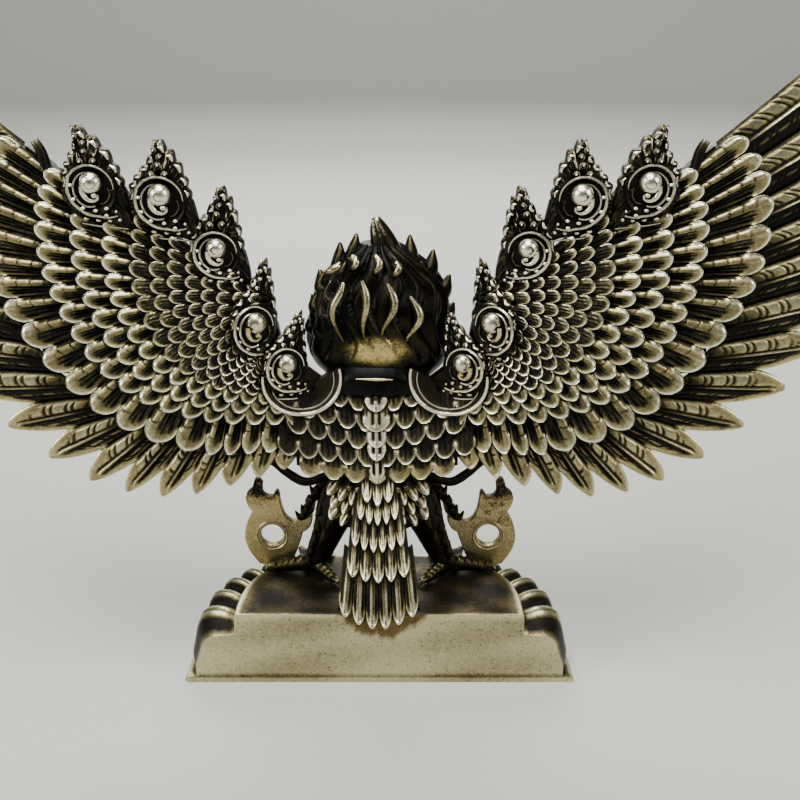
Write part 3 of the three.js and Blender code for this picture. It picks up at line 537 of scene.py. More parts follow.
def feather_row(tips, place, count, shape, notch, seen, tuck, levels, relief, rows, columns, shift=0,
                tilt=0.0, thick=1.9, under=3, keep=None, gap=1.0):
    """Feathers side by side along a row of tips. Each one spans its share of the row.

    notch is how far a feather's sides end behind its tip, seen the length that shows, and tuck the length
    that runs in under the row above. levels gives the heights of the tip's middle, of its sides and of
    the root. relief carves the feather, and gap is the depth of the cuts between feathers.
    """
    x = np.linspace(-1, 1, columns)
    w = np.sin(x * pi / 2) if shape == "round" else np.sin(x * 1.25) / sin(1.25)
    q = np.linspace(0, 1, rows) ** (1.35 if shape == "round" else 1.15)
    fall = 1 - np.sqrt(np.maximum(0, 1 - w ** 2)) if shape == "round" else np.abs(w) ** 1.5
    slope = np.gradient(fall, w)
    faces = sheet_faces(rows, columns, under)
    made = []
    for i in range(count + (1 if shift else 0)):
        middle = (i + (0 if shift else 0.5)) / count
        tip = tips(middle + 0.5 * w / count)
        if keep and not keep(tip[columns // 2]):
            continue
        shown_length = seen(middle) if callable(seen) else seen
        reach = notch(middle) if callable(notch) else notch
        back = reach * fall
        total = shown_length + tuck
        a = back + q[:, None] * (total - back)
        line = np.linspace(0, 1, under)[:, None]
        below = back + line * (total - back)
        top_middle, top_side, root = levels
        crown = top_side + (top_middle - top_side) * (1 - np.abs(w) ** 1.5)
        level = crown + (root - crown) * q[:, None] + tilt * w
        edge_a, edge_b = place(tip[:1], a[:, :1], 0), place(tip[-1:], a[:, -1:], 0)
        half = np.linalg.norm(edge_a - edge_b, axis=-1) / 2
        behind = a - back
        to_tip = behind / np.sqrt(1 + (slope * reach / half) ** 2)
        to_side = np.hypot((1 - np.abs(w)) * half, np.maximum(0, reach - a))
        edge = np.minimum(to_tip, to_side)
        rise, rub, gold = relief(w * half, half, behind, edge, w, shown_length, i)
        side_gap = gap * smooth(np.abs(w), 0.74, 0.97) * smooth(a, reach + 0.3, reach + 2.2)
        rise = rise - 0.8 * side_gap
        rub = np.clip(rub * (1 - 0.92 * side_gap), 0.02, 1)
        upper = place(tip, a, level + rise)
        shaft = 0.55 * bell(w * half.mean(), 0, 0.8)
        lower = place(tip, below, level[0] + (level[-1] - level[0]) * line - thick - shaft)
        marks = np.stack([np.broadcast_to(rub, a.shape), np.broadcast_to(gold, a.shape)], 2)
        under_marks = np.full((under, columns, 2), 0.22)
        under_marks[:, :, 0] += 0.5 * shaft
        made.append(outward(
            np.vstack([upper.reshape(-1, 3), lower.reshape(-1, 3)]),
            faces,
            np.vstack([marks.reshape(-1, 2), under_marks.reshape(-1, 2)]),
        ))
    return made


def quill_relief(x, half, behind, edge, w, seen, number):
    """Shaft, grooves and slashed vanes of a flight feather, with painted shade on its lower vane."""
    far = smooth(behind, 4, 7.5)
    near = smooth(behind, 2, 4.5)
    shaft = bell(x, 0, 0.28) * near
    furrow = (bell(x, 0.8, 0.4) + 1.15 * bell(x, -0.9, 0.5)) * near
    outer_furrow = bell(x, -0.62 * half, 0.3) * far
    second = bell(x, -0.42 * half, 0.24) * far
    vane = np.clip((np.abs(x) - 1.2) / np.maximum(half - 1.6, 0.5), 0, 1)
    beat = ((behind + 1.3 * np.abs(x) + 1.7 * number) / 6.2) % 1
    leaf = np.sin(pi * np.clip(vane * 1.15, 0, 1) ** 0.8) ** 0.5
    slash = bell(beat, 0.28, 0.065) + bell(beat, 0.58, 0.065)
    slash = slash * leaf * smooth(behind, 4.5, 6.5) * (vane > 0) * (vane < 0.87)
    rise = 0.22 * bell(edge, 0.3, 0.3) + 0.4 * shaft - 0.6 * furrow - 0.5 * slash - 0.4 * outer_furrow
    rise = rise + 0.5 * (1 - w ** 2)
    upper = smooth(x, -0.4, 0.8)
    # Painted shade: the lower vane is darkened as if lit from above, more so in the higher feathers, and its
    # bright rim is dimmed there.
    painted_shade = (0.35 + 0.65 * smooth(number, 5, 9)) * (1 - upper) * far
    rub = 0.58 - 0.54 * painted_shade - 0.1 * (1 - far) + 0.35 * bell(edge, 0, 0.5) * (1 - 0.7 * painted_shade)
    rub = rub + 0.6 * shaft + 0.4 * second * painted_shade - 1.2 * furrow - 1.0 * slash - 0.5 * outer_furrow
    rub = rub * (1 - 0.85 * smooth(behind, seen * 0.72, seen + 2))
    gold = 0.6 * (1 - smooth(behind, 3, 11)) + 0.25 * upper * far + 0.15
    return rise, rub, gold


def on_wing(side):
    """Places points on the wing: a millimetres behind the tips, h above the wing's back."""
    def place(tip, a, h):
        turn = np.radians(tip[..., 2])
        out = tip[..., 0] - a * np.cos(turn)
        up = tip[..., 1] - a * np.sin(turn)
        return np.stack([side * out, back_of_wing(out) + h, up + 0 * h], -1)
    return place


quill_tips = row_curve([
    (0.166, 0.360, -80), (0.277, 0.341, -72), (0.421, 0.324, -58), (0.572, 0.349, -40), (0.738, 0.440, -12),
    (0.896, 0.574, 7), (0.979, 0.731, 18), (0.9857, 0.876, 27), (0.892, 1.0302, 40),
])
greater_tips = row_curve([
    (0.154, 0.390, -88), (0.259, 0.392, -80), (0.354, 0.398, -69), (0.503, 0.441, -51), (0.622, 0.522, -28),
    (0.710, 0.624, -7), (0.750, 0.715, 9), (0.741, 0.823, 28), (0.678, 0.887, 40),
])


def gap_between(outer, inner):
    """The length of each feather that shows beyond the row above it."""
    near = inner(np.linspace(0, 1, 60))[:, :2]
    return lambda t: np.min(np.linalg.norm(near - outer(t)[:2], axis=1))


wing_metal = bronze(
    "feather_white_bronze", pale=(0.93, 0.88, 0.66), brown=(0.15, 0.122, 0.062), gold=(0.5, 0.41, 0.18),
    dark=(0.004, 0.0036, 0.0026), rough=(0.48, 0.22), pits=0.4, blotch=0.3,
)
for side, name in SIDES:
    quills = feather_row(
        quill_tips, on_wing(side), QUILLS, "lance", lambda t: 3.4 + 9.6 * min(1, 2 * t),
        gap_between(quill_tips, greater_tips), 8, (0.1, -0.7, -1.3), quill_relief, 100, 25, tilt=0.35,
        thick=1.6, under=6,
    )
    flight_feathers = cast("flight_feathers_" + name, quills, wing_metal, LEAN, FEATHER_CRISP)
    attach(flight_feathers, "root")
    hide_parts("garuda_figure")

# Greater coverts. A row of round-ended feathers over the roots of the flight feathers. Each has a white
# rubbed rim, a broad upper vane with a painted highlight, as if lit from above, and three tapered black
# grooves chased toward its root.
COVERTS = 20


def covert_relief(x, half, behind, edge, w, seen, number):
    """Bright end, tapered grooves and short slits of a covert, with a painted highlight on its upper vane."""
    begin = 0.2 * seen + 0.3
    rim = bell(edge, 0.28, 0.3)
    v = w / (1 - 0.3 * smooth(behind, 0, seen))
    wander = 0.04 * sin(2.3 * number)
    taper = 0.5 + 0.5 * smooth(behind, begin, 0.8 * seen)
    cut = bell(v, 0.16 + wander, 0.085 * taper) * smooth(behind, begin + 1.0, begin + 2.4)
    cut = cut + 1.1 * bell(v, -0.2 + wander, 0.1 * taper) * smooth(behind, begin, begin + 1.4)
    cut = cut + 1.2 * bell(v, -0.58, 0.14 * taper) * smooth(behind, begin + 0.2, begin + 1.6)
    beat = ((behind + 1.1 * x + 0.9 * number) / 3.7) % 1
    slit = bell(beat, 0.5, 0.055) * smooth(w, 0.24, 0.36) * smooth(behind, 2.6, 3.8)
    swell = 0.6 * (1 - w ** 2) + 0.3 * bell(w, 0.4, 0.35)
    rise = 0.1 * rim + swell * (1 - 0.4 * rim) - 0.7 * cut - 0.3 * slit
    # Painted highlight: the upper side is painted lighter, as if lit from above, and stays light further
    # toward the root.
    upper = smooth(w, 0.12, 0.34)
    end = 1 - smooth(behind, 0.16 * seen, 0.36 * seen)
    rub = 0.22 + 0.22 * end + 0.18 * upper + 0.42 * bell(edge, 0, 0.75) - 1.1 * cut - 0.9 * slit
    rub = rub * (1 - 0.92 * smooth(behind, seen * (0.4 + 0.35 * upper), seen * (0.85 + 0.2 * upper)))
    gold = 0.3 + 0.35 * upper - 0.4 * rim
    return rise, rub, gold


first_scale_tips = row_curve([
    (0.147, 0.433, -90), (0.245, 0.441, -80), (0.350, 0.454, -66), (0.455, 0.484, -48), (0.545, 0.543, -26),
    (0.600, 0.622, -8), (0.629, 0.699, 6), (0.626, 0.780, 22), (0.594, 0.841, 38),
])
for side, name in SIDES:
    coverts = feather_row(
        greater_tips, on_wing(side), COVERTS, "round", 4.6, gap_between(greater_tips, first_scale_tips), 4,
        (1.5, 0.9, 0.1), covert_relief, 50, 29, tilt=0.3, thick=2.1,
    )
    greater_coverts = cast("greater_coverts_" + name, coverts, wing_metal, LEAN, FEATHER_CRISP)
    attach(greater_coverts, "root")
    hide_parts("garuda_figure")

# Scale feathers. Rows of small round feathers, laid like tiles and smaller toward the shoulder. Their
# ends are rubbed to bright crescents, and short grooves fan out from the dark root of each. Their upper
# sides carry a painted highlight, as if lit from above.
SCALE_ROWS = (0, 0.195, 0.368, 0.52, 0.63, 0.728, 0.827, 0.914, 1.0, 1.09, 1.18)
SCALE_COUNTS = (20, 18, 17, 15, 14, 14, 13, 12, 10, 9, 8)
# The lowest rows are carved as the coverts are.
COVERT_LIKE_ROWS = 3
DISH_OUT, DISH_UP = 20.9, 95.4
CLEAR_OF_DISH = 10.6
innermost_tips = curve([
    (31, 98, -88), (34, 99.5, -80), (37, 101.5, -68), (40, 105, -48), (42, 110, -27), (43, 115, -10),
    (43, 120, 5), (42.5, 125, 20), (43, 129, 35),
])


def dish_clear(tip):
    """Whether a feather's tip lies outside the dish beside the neck, on either side."""
    return np.hypot(abs(tip[0]) - DISH_OUT, tip[1] - DISH_UP) > CLEAR_OF_DISH


def scale_relief(x, half, behind, edge, w, seen, number):
    """Bright crescent end and short fanned grooves of a scale, with a painted highlight on its upper side."""
    rim = bell(edge, 0.24, 0.26)
    fingers = 0.5 - 0.5 * np.cos(2 * pi * w / 0.44 + 0.9 * sin(1.7 * number))
    cut = fingers ** 1.4 * smooth(behind, 0.1 * seen, 0.36 * seen) * (1 - smooth(np.abs(w), 0.7, 0.9))
    rise = 0.14 * rim + 0.65 * (1 - w ** 2) * (1 - 0.5 * rim) - 0.5 * cut
    # Painted highlight: the upper side is painted lighter, as if lit from above, and stays light further
    # toward the root.
    upper = smooth(w, -0.5, 0.6)
    rub = 0.17 + 0.18 * upper + 0.58 * bell(edge, 0, 0.6) - 0.9 * cut
    rub = rub + 0.12 * (1 - smooth(behind, 0.1 * seen, 0.3 * seen))
    rub = rub * (1 - 0.97 * smooth(behind, (0.18 + 0.2 * upper) * seen, (0.56 + 0.24 * upper) * seen))
    return rise, rub, 0.3 + 0.25 * (1 - rim)


def scale_tips(inward):
    """Tips of a row between the outermost and the innermost row of scales."""
    return lambda t: first_scale_tips(t) + (innermost_tips(t) - first_scale_tips(t)) * inward


for side, name in SIDES:
    scales = []
    for k, inward in enumerate(SCALE_ROWS):
        above = scale_tips(SCALE_ROWS[k + 1] if k < len(SCALE_ROWS) - 1 else inward + 0.09)
        carving = (covert_relief, 28, 23) if k < COVERT_LIKE_ROWS else (scale_relief, 16, 17)
        scales += feather_row(
            scale_tips(inward), on_wing(side), SCALE_COUNTS[k], "round", 3.3 - 1.2 * inward,
            gap_between(scale_tips(inward), above), 3.2 - 1.2 * inward,
            (2.6 + 1.6 * inward, 2.0 + 1.6 * inward, 1.2 + 1.9 * inward), *carving,
            shift=k % 2, tilt=0.2, thick=1.8, under=2, keep=dish_clear,
        )
    wing_scales = cast("wing_scales_" + name, scales, wing_metal, LEAN, FEATHER_CRISP)
    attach(wing_scales, "root")
    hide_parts("garuda_figure")

# Wing arms. The thick leading part of each wing under the small feathers. Its front has plain rows of
# broad flat feathers, cast in one with it, and has kept a dark even patina.
last_scale_tips = row_curve([
    (0.154, 0.489, -88), (0.210, 0.522, -76), (0.259, 0.570, -58), (0.308, 0.616, -36), (0.357, 0.656, -14),
    (0.413, 0.696, 2), (0.476, 0.739, 14), (0.538, 0.780, 24),
])


def crest_line(t):
    """The upper edge of the wing, a little inward of the last row of scales."""
    t = np.asarray(t, float)
    return last_scale_tips(t) + np.stack([-7 + 3 * t, 2 + 9 * t, 0 * t], -1)


def lining_relief(x, half, behind, edge, w, seen, number):
    """A plain feather of the wing's front."""
    shaft = bell(x, 0, 0.6)
    return 0.25 * shaft, 0.28 + 0.4 * shaft + 0.3 * bell(edge, 0, 0.8), 0.2


def before_wing(side):
    """Places points on the wing's front: h is how far they stand out toward the front."""
    back = on_wing(side)
    return lambda tip, a, h: back(tip, a, -2.6 - h)


for side, name in SIDES:
    place = on_wing(side)
    t = np.linspace(0, 1, 49)
    first, last = first_scale_tips(t), last_scale_tips(t)
    lines = [crest_line(t)] + [first + (last - first) * share for share in (1, 0.75, 0.5, 0.25, 0)]
    lines.append(first * 0.5 + greater_tips(t) * 0.5)
    upper = [place(line, 0, h) for line, h in zip(lines, (2.2, 2.2, 2, 1.4, 0.8, 0.3, -0.5))]
    lower = [place(line, 0, h) for line, h in zip(lines, (-2.4, -3.4, -3.7, -3.8, -3.6, -3.4, -3.1))]
    around = np.stack(upper + lower[::-1], 1)
    arm = [loft(around, (0.25, 0.1))]
    arm += feather_row(
        greater_tips, before_wing(side), 16, "round", 4, gap_between(greater_tips, first_scale_tips), 3,
        (0.9, 0.6, 0.3), lining_relief, 12, 13, thick=1.2,
    )
    for inward, count, high in ((0, 15, 1.5), (0.36, 13, 2.0), (0.66, 11, 2.4), (0.95, 9, 2.6)):
        arm += feather_row(
            scale_tips(inward), before_wing(side), count, "round", 3.4 - inward, 8 - 2 * inward, 3,
            (high, high - 0.3, high - 0.8), lining_relief, 10, 11, thick=1.2, keep=dish_clear,
        )
    wing_arm = cast("wing_arm_" + name, arm, dark_metal, LEAN)
    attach(wing_arm, "root")
    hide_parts("garuda_figure")

# Crests. Five flame leaves stand along each wing's leading edge, each behind a round boss with a pearl and
# a hook that curls out below it. They are cast, and black with bright beads and rims where they are rubbed.

# Middle of the boss and tip of the leaf as shares of the wing, the boss's radius, the turn to the side in
# degrees, and how wide the leaf is on its inner side
CRESTS = (
    ((0.1757, 0.5272), (0.147, 0.619), 6.3, 34, 0.8), ((0.232, 0.593), (0.211, 0.704), 6.9, 42, 0.85),
    ((0.295, 0.710), (0.282, 0.814), 6.1, 14, 0.95), ((0.390, 0.787), (0.392, 0.881), 6.7, 4, 0.95),
    ((0.513, 0.805), (0.543, 0.901), 6.5, 0, 1),
)
LEAF = (
    (0, 1), (-0.66, 0.74), (-1.1, 0.36), (-1.28, 0), (-1.4, -1.5), (-0.2, -1.28), (0.8, -1), (1.25, -0.3),
    (1.28, 0.2), (0.92, 0.44), (0.4, 0.68),
)
LEAF_POINTS = 132
# Share of the outline and height of the leaf's rings, then share, height and rub of the boss's
LEAF_PROFILE = (
    (0.3, 2.0), (0.48, 2.2), (0.6, 2.4), (0.69, 2.4), (0.77, 2.2), (0.85, 1.9), (0.92, 1.7), (0.97, 1.5),
    (1, 1.0), (1, -1.4),
)
BOSS_PROFILE = (
    (1, -1, 0.1), (1.03, 2.6, 0.1), (0.98, 3.3, 0.2), (0.88, 2.8, 0.05), (0.68, 2.5, 0.03), (0.4, 2.6, 0.03),
    (0.1, 2.8, 0.03),
)


def crest_parts(side, at, tip, radius, turn, inner, gold):
    """The leaf, its beads and curls, and the boss with its rims, pearl and beads."""
    out = at[0] * WING_REACH
    angle = radians(turn)
    lean = (tip[0] - at[0]) * WING_REACH / cos(angle)
    height = (tip[1] - at[1]) * WING_TOP_Z

    def place(x, y, z):
        x, y, z = np.broadcast_arrays(np.asarray(x, float), y, z)
        return np.stack([
            side * (out + x * cos(angle)),
            back_of_wing(out) + 1.6 + z + x * sin(angle),
            at[1] * WING_TOP_Z + y,
        ], -1)

    def leaf_point(across, up):
        high = np.maximum(0, up)
        wide = np.where(across < 0, across * inner, across)
        return wide * radius + lean * high * high, np.where(up > 0, up * height, up * radius)

    # The leaf's outline is smooth between its corners and scalloped along the upper edges.
    outline = curve([*LEAF, LEAF[0]])(np.linspace(0, 1, LEAF_POINTS + 1)[:-1])
    x, y = leaf_point(outline[:, 0], outline[:, 1])
    wave = np.abs(np.sin(np.linspace(0, 18 * pi, LEAF_POINTS)))
    scallop = 1 - 0.1 * (1 - wave) * (outline[:, 1] > 0.02)
    x, y = x * scallop, y * scallop
    rings, tones = [], []
    for share, rise in LEAF_PROFILE:
        chased = 0.45 < share < 0.99
        curled = np.sin(2.9 * x * share + 1.9 * np.sin(2.3 * y * share))
        curled = chased * curled * np.sin(3.3 * y * share + 1.7 * np.sin(2.7 * x * share))
        rings.append(place(x * share, y * share, rise + 0.5 * curled))
        rubbed = 0.04 + 0.8 * smooth(curled, 0.3, 0.75) * (0.2 + 0.8 * smooth(outline[:, 1], 0.2, 0.9))
        rubbed = rubbed + 0.4 * wave * (share > 0.95) * smooth(outline[:, 1], 0, 0.4) * (rise > 0)
        tones.append(np.c_[rubbed, np.full(LEAF_POINTS, 0.2)])
    made = [loft(rings, tones)]
    # Flame tongues along the leaf's edges, each with a bright rolled end.
    for k in range(4, LEAF_POINTS, 7):
        if 0.04 < outline[k, 1] < 0.97:
            share = np.linspace(0.58, 0.97, 6)
            drop = height * 0.1 * np.sin(np.linspace(0, pi, 6)) * -1
            path = place(x[k] * share, y[k] * share + drop, 2.6 - 1.0 * share ** 3)
            made.append(bar(path, [0.25, 0.5, 0.42, 0.3], 9, 6, rub=np.linspace(0, 1, 10) ** 5 * 0.8))
            size = (0.4 + 0.3 * outline[k, 1]) * (0.75 + 0.4 * abs(sin(2.7 * k)))
            share = 0.95 - 0.07 * abs(sin(1.9 * k))
            near = np.array([k - 3, k, k + 2]) % LEAF_POINTS
            made.append(bar(place(x[near] * share, y[near] * share, 1.9), [0.2, size, 0.3], 7, 7, rub=0.96))
    # Curls up the middle of the leaf, smaller toward its tip.
    for up, across in ((0.42, -0.28), (0.42, 0.28), (0.56, 0), (0.68, -0.12), (0.78, 0.1), (0.9, 0)):
        cx, cy = leaf_point(np.float64(across), np.float64(up))
        size = 1.3 - 0.6 * up
        hook = np.linspace(0.3, 1.6 * pi, 9)
        flip = 1 if across >= 0 else -1
        reach = size * (0.3 + 0.8 * hook / (1.6 * pi))
        path = place(cx + flip * reach * np.cos(hook), cy + reach * np.sin(hook), 2.9)
        made.append(bar(path, [0.42, 0.34, 0.16], 12, 6, rub=(0.9, 0.3), gold=0.15))
        made.append(bead(place(cx, cy, 2.9), (0.4 * size, 0.6, 0.45 * size), 0.9, 0.1, 8, 5))
    # The boss is a dished disc.
    turns = 2 * pi * np.arange(48) / 48
    rings = [place(radius * s * np.cos(turns), radius * s * np.sin(turns), z) for s, z, _ in BOSS_PROFILE]
    made.append(loft(rings, [[(rub, 0.1)] for _, _, rub in BOSS_PROFILE]))

    def wire(angles, reaches, lift, thick, rub=0.92):
        """A raised line that winds round the boss."""
        share = np.linspace(0, 1, 60)
        a = np.radians(np.interp(share, np.linspace(0, 1, len(angles)), angles))
        r = radius * np.interp(share, np.linspace(0, 1, len(reaches)), reaches)
        made.append(bar(place(r * np.cos(a), r * np.sin(a), lift), thick, 64, 6, rub=rub))

    # The outer rim runs over the top and outward, and tails away below toward the head.
    wire(
        (176, 149, 114, 79, 37, 16, -22, -55, -101, -134),
        (0.9, 0.94, 0.97, 1.02, 1.05, 0.98, 0.92, 0.9, 1.03, 1.4),
        3.5, [0.12, 0.24, 0.3, 0.34, 0.42, 0.46, 0.48, 0.46, 0.36, 0.2],
    )
    wire(
        (112, 60, 27, -20, -68, -100), (0.7, 0.78, 0.76, 0.7, 0.68, 0.62),
        3.2, [0.12, 0.3, 0.4, 0.38, 0.34, 0.34],
    )
    wire((-122, -140, -165, -190), (0.62, 0.72, 0.74, 0.66), 3.1, [0.12, 0.24, 0.24, 0.1], 0.5)
    # The pearl, with a spiral line chased on it. A thick hook curls out below it and ends in a ball.
    pearl_up, pearl = 0.32 * radius, 0.46 * radius
    made.append(bead(place(0, pearl_up, 3.2), (pearl, 2.7, pearl), 0.98, gold * 0.6, 26, 18))
    wind = np.linspace(0, 3.2 * pi, 40)
    reach = 0.37 * radius * (1 - wind / (3.5 * pi))
    lift = 3.2 + 2.7 * np.sqrt(np.maximum(0, 1 - (reach / pearl) ** 2)) - 0.06
    spiral = place(reach * np.cos(wind), pearl_up + reach * np.sin(wind), lift)
    made.append(bar(spiral, [0.05, 0.13, 0.13, 0.05], 60, 5, rub=0.03))
    hook = [(0.33, 0.2), (0.34, -0.06), (0.2, -0.3), (-0.04, -0.4), (-0.24, -0.3), (-0.22, -0.16)]
    hook = place(*(radius * np.array(hook).T), 3.7)
    made.append(bar(hook, [1.0, 0.9, 0.7, 0.5, 0.4, 0.45], 30, 8, rub=0.92, gold=gold))
    ball = place(-0.13 * radius, -0.17 * radius, 4.2)
    made.append(bead(ball, (0.13 * radius, 0.9, 0.11 * radius), 0.98, gold, 14, 9))
    # Small beads round the boss, then oval beads and a thin line below it
    for degrees, share in ((16, 0.86), (-24, 0.82), (-60, 0.8), (-98, 0.8), (-118, 1.12), (-128, 0.9)):
        a = radians(degrees)
        spot = place(radius * share * cos(a), radius * share * sin(a), 3.5)
        made.append(bead(spot, (0.7, 0.6, 0.5), 0.95, gold, 8, 6))
    ovals = ((0.35, -1.14), (-0.15, -1.2), (-0.62, -1.22), (-1.02, -1.2), (-0.9, -0.86))
    for k, (across, up) in enumerate(ovals):
        oval = place(radius * across, radius * up, 2.4)
        made.append(bead(oval, (0.8 - 0.08 * k, 0.8, 0.5), 0.8, gold, 9, 6))
    line = [(0.55, -1.34), (0, -1.44), (-0.6, -1.5), (-1.3, -1.58)]
    made.append(bar(place(*(radius * np.array(line).T), 1.8), [0.2, 0.3, 0.3, 0.2], 24, 6, rub=0.75))
    return made


crest_metal = bronze(
    "crest_bronze", pale=(0.85, 0.81, 0.64), brown=(0.06, 0.05, 0.03), gold=(0.48, 0.38, 0.16),
    dark=(0.003, 0.0027, 0.0022), rough=(0.42, 0.27), pits=0.2, blotch=0.22,
)
for side, name in SIDES:
    parts = []
    for number, crest in enumerate(CRESTS):
        parts += crest_parts(side, *crest, gold=0.85 if number < 2 else 0.15)
    # The plain curl beyond the highest crest.
    curl = np.array([(83.2, 0, 151.2), (86.2, 0, 154.8), (87.2, 0, 159.4), (88.6, 0, 162.2)])
    curl[:, 1] = back_of_wing(curl[:, 0]) - 0.6
    parts.append(bar(curl * [side, 1, 1], [2.6, 1.9, 1.4, 1.2], 24, 14, rub=(0.1, 0.95), power=5))
    crests = cast("crests_" + name, parts, crest_metal, LEAN)
    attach(crests, "root")
    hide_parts("garuda_figure")

# Dishes. A half-round dish holds the lowest crest beside the neck: a bright rolled rim, a thin line
# inside it, and a smooth dark floor. Both are cast in one with the figure.
DISH_RADIUS = 11.2
# Share of the radius, depth behind the rim and rub of each line of the dish, from its floor round its back
DISH_PROFILE = (
    (0.3, -2.6, 0.08), (0.74, -2.2, 0.1), (0.8, -1.6, 0.1), (0.85, -1.1, 0.12), (0.9, -0.7, 0.15),
    (0.97, -0.4, 0.25), (1.0, -1, 0.2), (1.0, -5.9, 0.1), (0.3, -6.1, 0.1),
)


def dish_line(side, share, depth):
    """A line round the lower half of a dish, at a share of its radius."""
    turn = np.radians(np.linspace(166, 368, 49))
    out = DISH_OUT + DISH_RADIUS * share * np.cos(turn)
    up = DISH_UP + DISH_RADIUS * (share * (np.sin(turn) + 0.4) - 0.4)
    slope = np.where(out > DISH_OUT, 0.34, 0.05)
    return np.stack([side * out, back_of_wing(DISH_OUT) + 5.0 + depth + slope * (out - DISH_OUT), up], -1)


dishes = []
for side in (-1, 1):
    rings = np.stack([dish_line(side, share, depth) for share, depth, _ in DISH_PROFILE], 1)
    dishes.append(loft(rings, [[(rub, 0.2) for _, _, rub in DISH_PROFILE]]))
    dishes.append(bar(dish_line(side, 0.975, -0.45), [0.4, 0.6, 0.6, 0.6, 0.4], 60, 8, rub=0.92))
    dishes.append(bar(dish_line(side, 0.8, -1.5), [0.15, 0.3, 0.3, 0.3, 0.15], 60, 6, rub=0.75))
dish_piece = cast("crest_dishes", dishes, crest_metal, LEAN)
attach(dish_piece, "root")
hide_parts("garuda_figure")

# Mantle. Scales across the back between the wings, cast with them, with a column of longer feathers down
# the middle and a small pointed feather at its end. The lowest row is worn to gold.

# Height of each row's lowest tip and of its outer tips, the count of its scales and its half width
MANTLE = (
    (84.6, 91.5, 9, 24), (78.4, 85.5, 9, 26), (72.6, 79.5, 9, 26), (67.2, 71.8, 9, 26), (61.8, 65.2, 7, 23),
)
# Height of each feather's tip, its length, its half width and its height over the back
MIDDLE_COLUMN = (
    (85.2, 3.6, 3.2, 4.9), (79.2, 6, 3.9, 5.3), (74, 5.2, 2.9, 4.8), (69.8, 4.2, 2.7, 4.5),
    (62.6, 7, 2.4, 4.4),
)


def on_back(tip, a, h):
    """Places points over the figure's back, h above the surface between the wings."""
    out = np.abs(tip[..., 0])
    return np.stack([tip[..., 0] + 0 * a, back_of_wing(out) + h + 0 * a, tip[..., 1] + a], -1)


def mantle_tips(middle, outer, half):
    """Tips of one row: lowest at the middle, rising to the sides."""
    def tips(t):
        across = 2 * np.asarray(t, float) - 1
        return np.stack([half * across, middle + (outer - middle) * np.abs(across) ** 1.6, 0 * across], -1)
    return tips


def spine_relief(x, half, behind, edge, w, seen, number):
    """A broad bright feather of the middle column, with a shaft and black slits beside it."""
    shaft = bell(x, 0, 0.32)
    cut = 1.2 * (bell(x, 0.95, 0.36) + bell(x, -0.95, 0.36)) * smooth(behind, 1.2, 2.2)
    slits = bell(x, 0.6 * half + 0.4, 0.28) + bell(x, -0.6 * half - 0.4, 0.28)
    cut = cut + 0.8 * slits * smooth(behind, 2.6, 4)
    rim = bell(edge, 0.3, 0.3)
    rise = 1.1 * (1 - w ** 2) + 0.2 * shaft - 0.55 * cut + 0.12 * rim
    rub = 0.74 + 0.25 * rim + 0.25 * shaft - 1.0 * cut
    rub = rub * (1 - 0.8 * smooth(behind, seen * 0.75, seen))
    return rise, rub, 0.12


def mantle_relief(x, half, behind, edge, w, seen, number):
    """A thin bright rim round three black fingers with pale ridges between them."""
    rim = bell(edge, 0.25, 0.28)
    pitch = 0.5 + 0.06 * sin(2.1 * number)
    fingers = 0.5 + 0.5 * np.cos(2 * pi * w / pitch + 0.7 * sin(1.3 * number))
    cut = fingers ** 1.5 * smooth(behind, (0.16 + 0.1 * sin(3.1 * number)) * seen, 0.4 * seen)
    cut = cut * (1 - smooth(np.abs(w), 0.74, 0.92))
    rise = 0.16 * rim + 0.85 * (1 - w ** 2) * (1 - 0.5 * rim) - 0.5 * cut
    rub = 0.36 + 0.6 * bell(edge, 0, 0.6) - 0.95 * cut - 0.05 * abs(number - 4)
    rub = rub * (1 - 0.95 * smooth(behind, 0.42 * seen, 0.8 * seen))
    return rise, rub, 0.1 + 0.15 * (1 - rim)


def worn_relief(x, half, behind, edge, w, seen, number):
    """The lowest scales: worn smooth to gold at their ends."""
    rise, rub, gold = mantle_relief(x, half, behind - 0.28 * seen, edge, w, seen, number)
    end = 1 - smooth(behind, 0.2 * seen, 0.6 * seen)
    return rise + 0.2 * end, rub + 0.25 * end, 0.3 + 0.7 * end


mantle = []
for k, (middle, outer, count, half) in enumerate(MANTLE):
    mantle += feather_row(
        mantle_tips(middle, outer, half), on_back, count, "round", 3.0, 6, 2.5,
        (4.0 - 0.25 * k, 3.3 - 0.25 * k, 1.4 - 0.15 * k),
        worn_relief if k == len(MANTLE) - 1 else mantle_relief, 24, 21,
        shift=k % 2, thick=2.0, under=2, keep=dish_clear,
    )
for low, length, half, lift in MIDDLE_COLUMN:
    mantle += feather_row(
        mantle_tips(low, low, half), on_back, 1, "lance" if low < 65 else "round", 2.8, length, 1.5,
        (lift, lift - 0.8, lift - 1.2), spine_relief, 30, 25, thick=2.6, under=2,
    )
# The plain metal under the scales
core = []
for z, h, drop in ((93.5, 1.6, 5.5), (84, 1.5, 2), (76, 1.3, 0), (66, 1.0, 0), (62.5, 0.6, 0)):
    x = np.linspace(-24, 24, 25)
    line = np.c_[x, back_of_wing(np.abs(x)) + h, z + 0.008 * x * x - drop * (np.abs(x) > 11)]
    core.append(np.vstack([line, line[::-1] - [0, 4, 0]]))
mantle.append(loft(core, (0.08, 0.1)))
mantle_piece = cast("mantle", mantle, wing_metal, LEAN, FEATHER_CRISP)
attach(mantle_piece, "root")
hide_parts("garuda_figure")

# Tail. Rows of long narrow feathers on a slab that leans back over the plinth's edge, each with a bright
# raised middle between two dark grooves. Small hip feathers of the same kind lie on the tops of the legs.

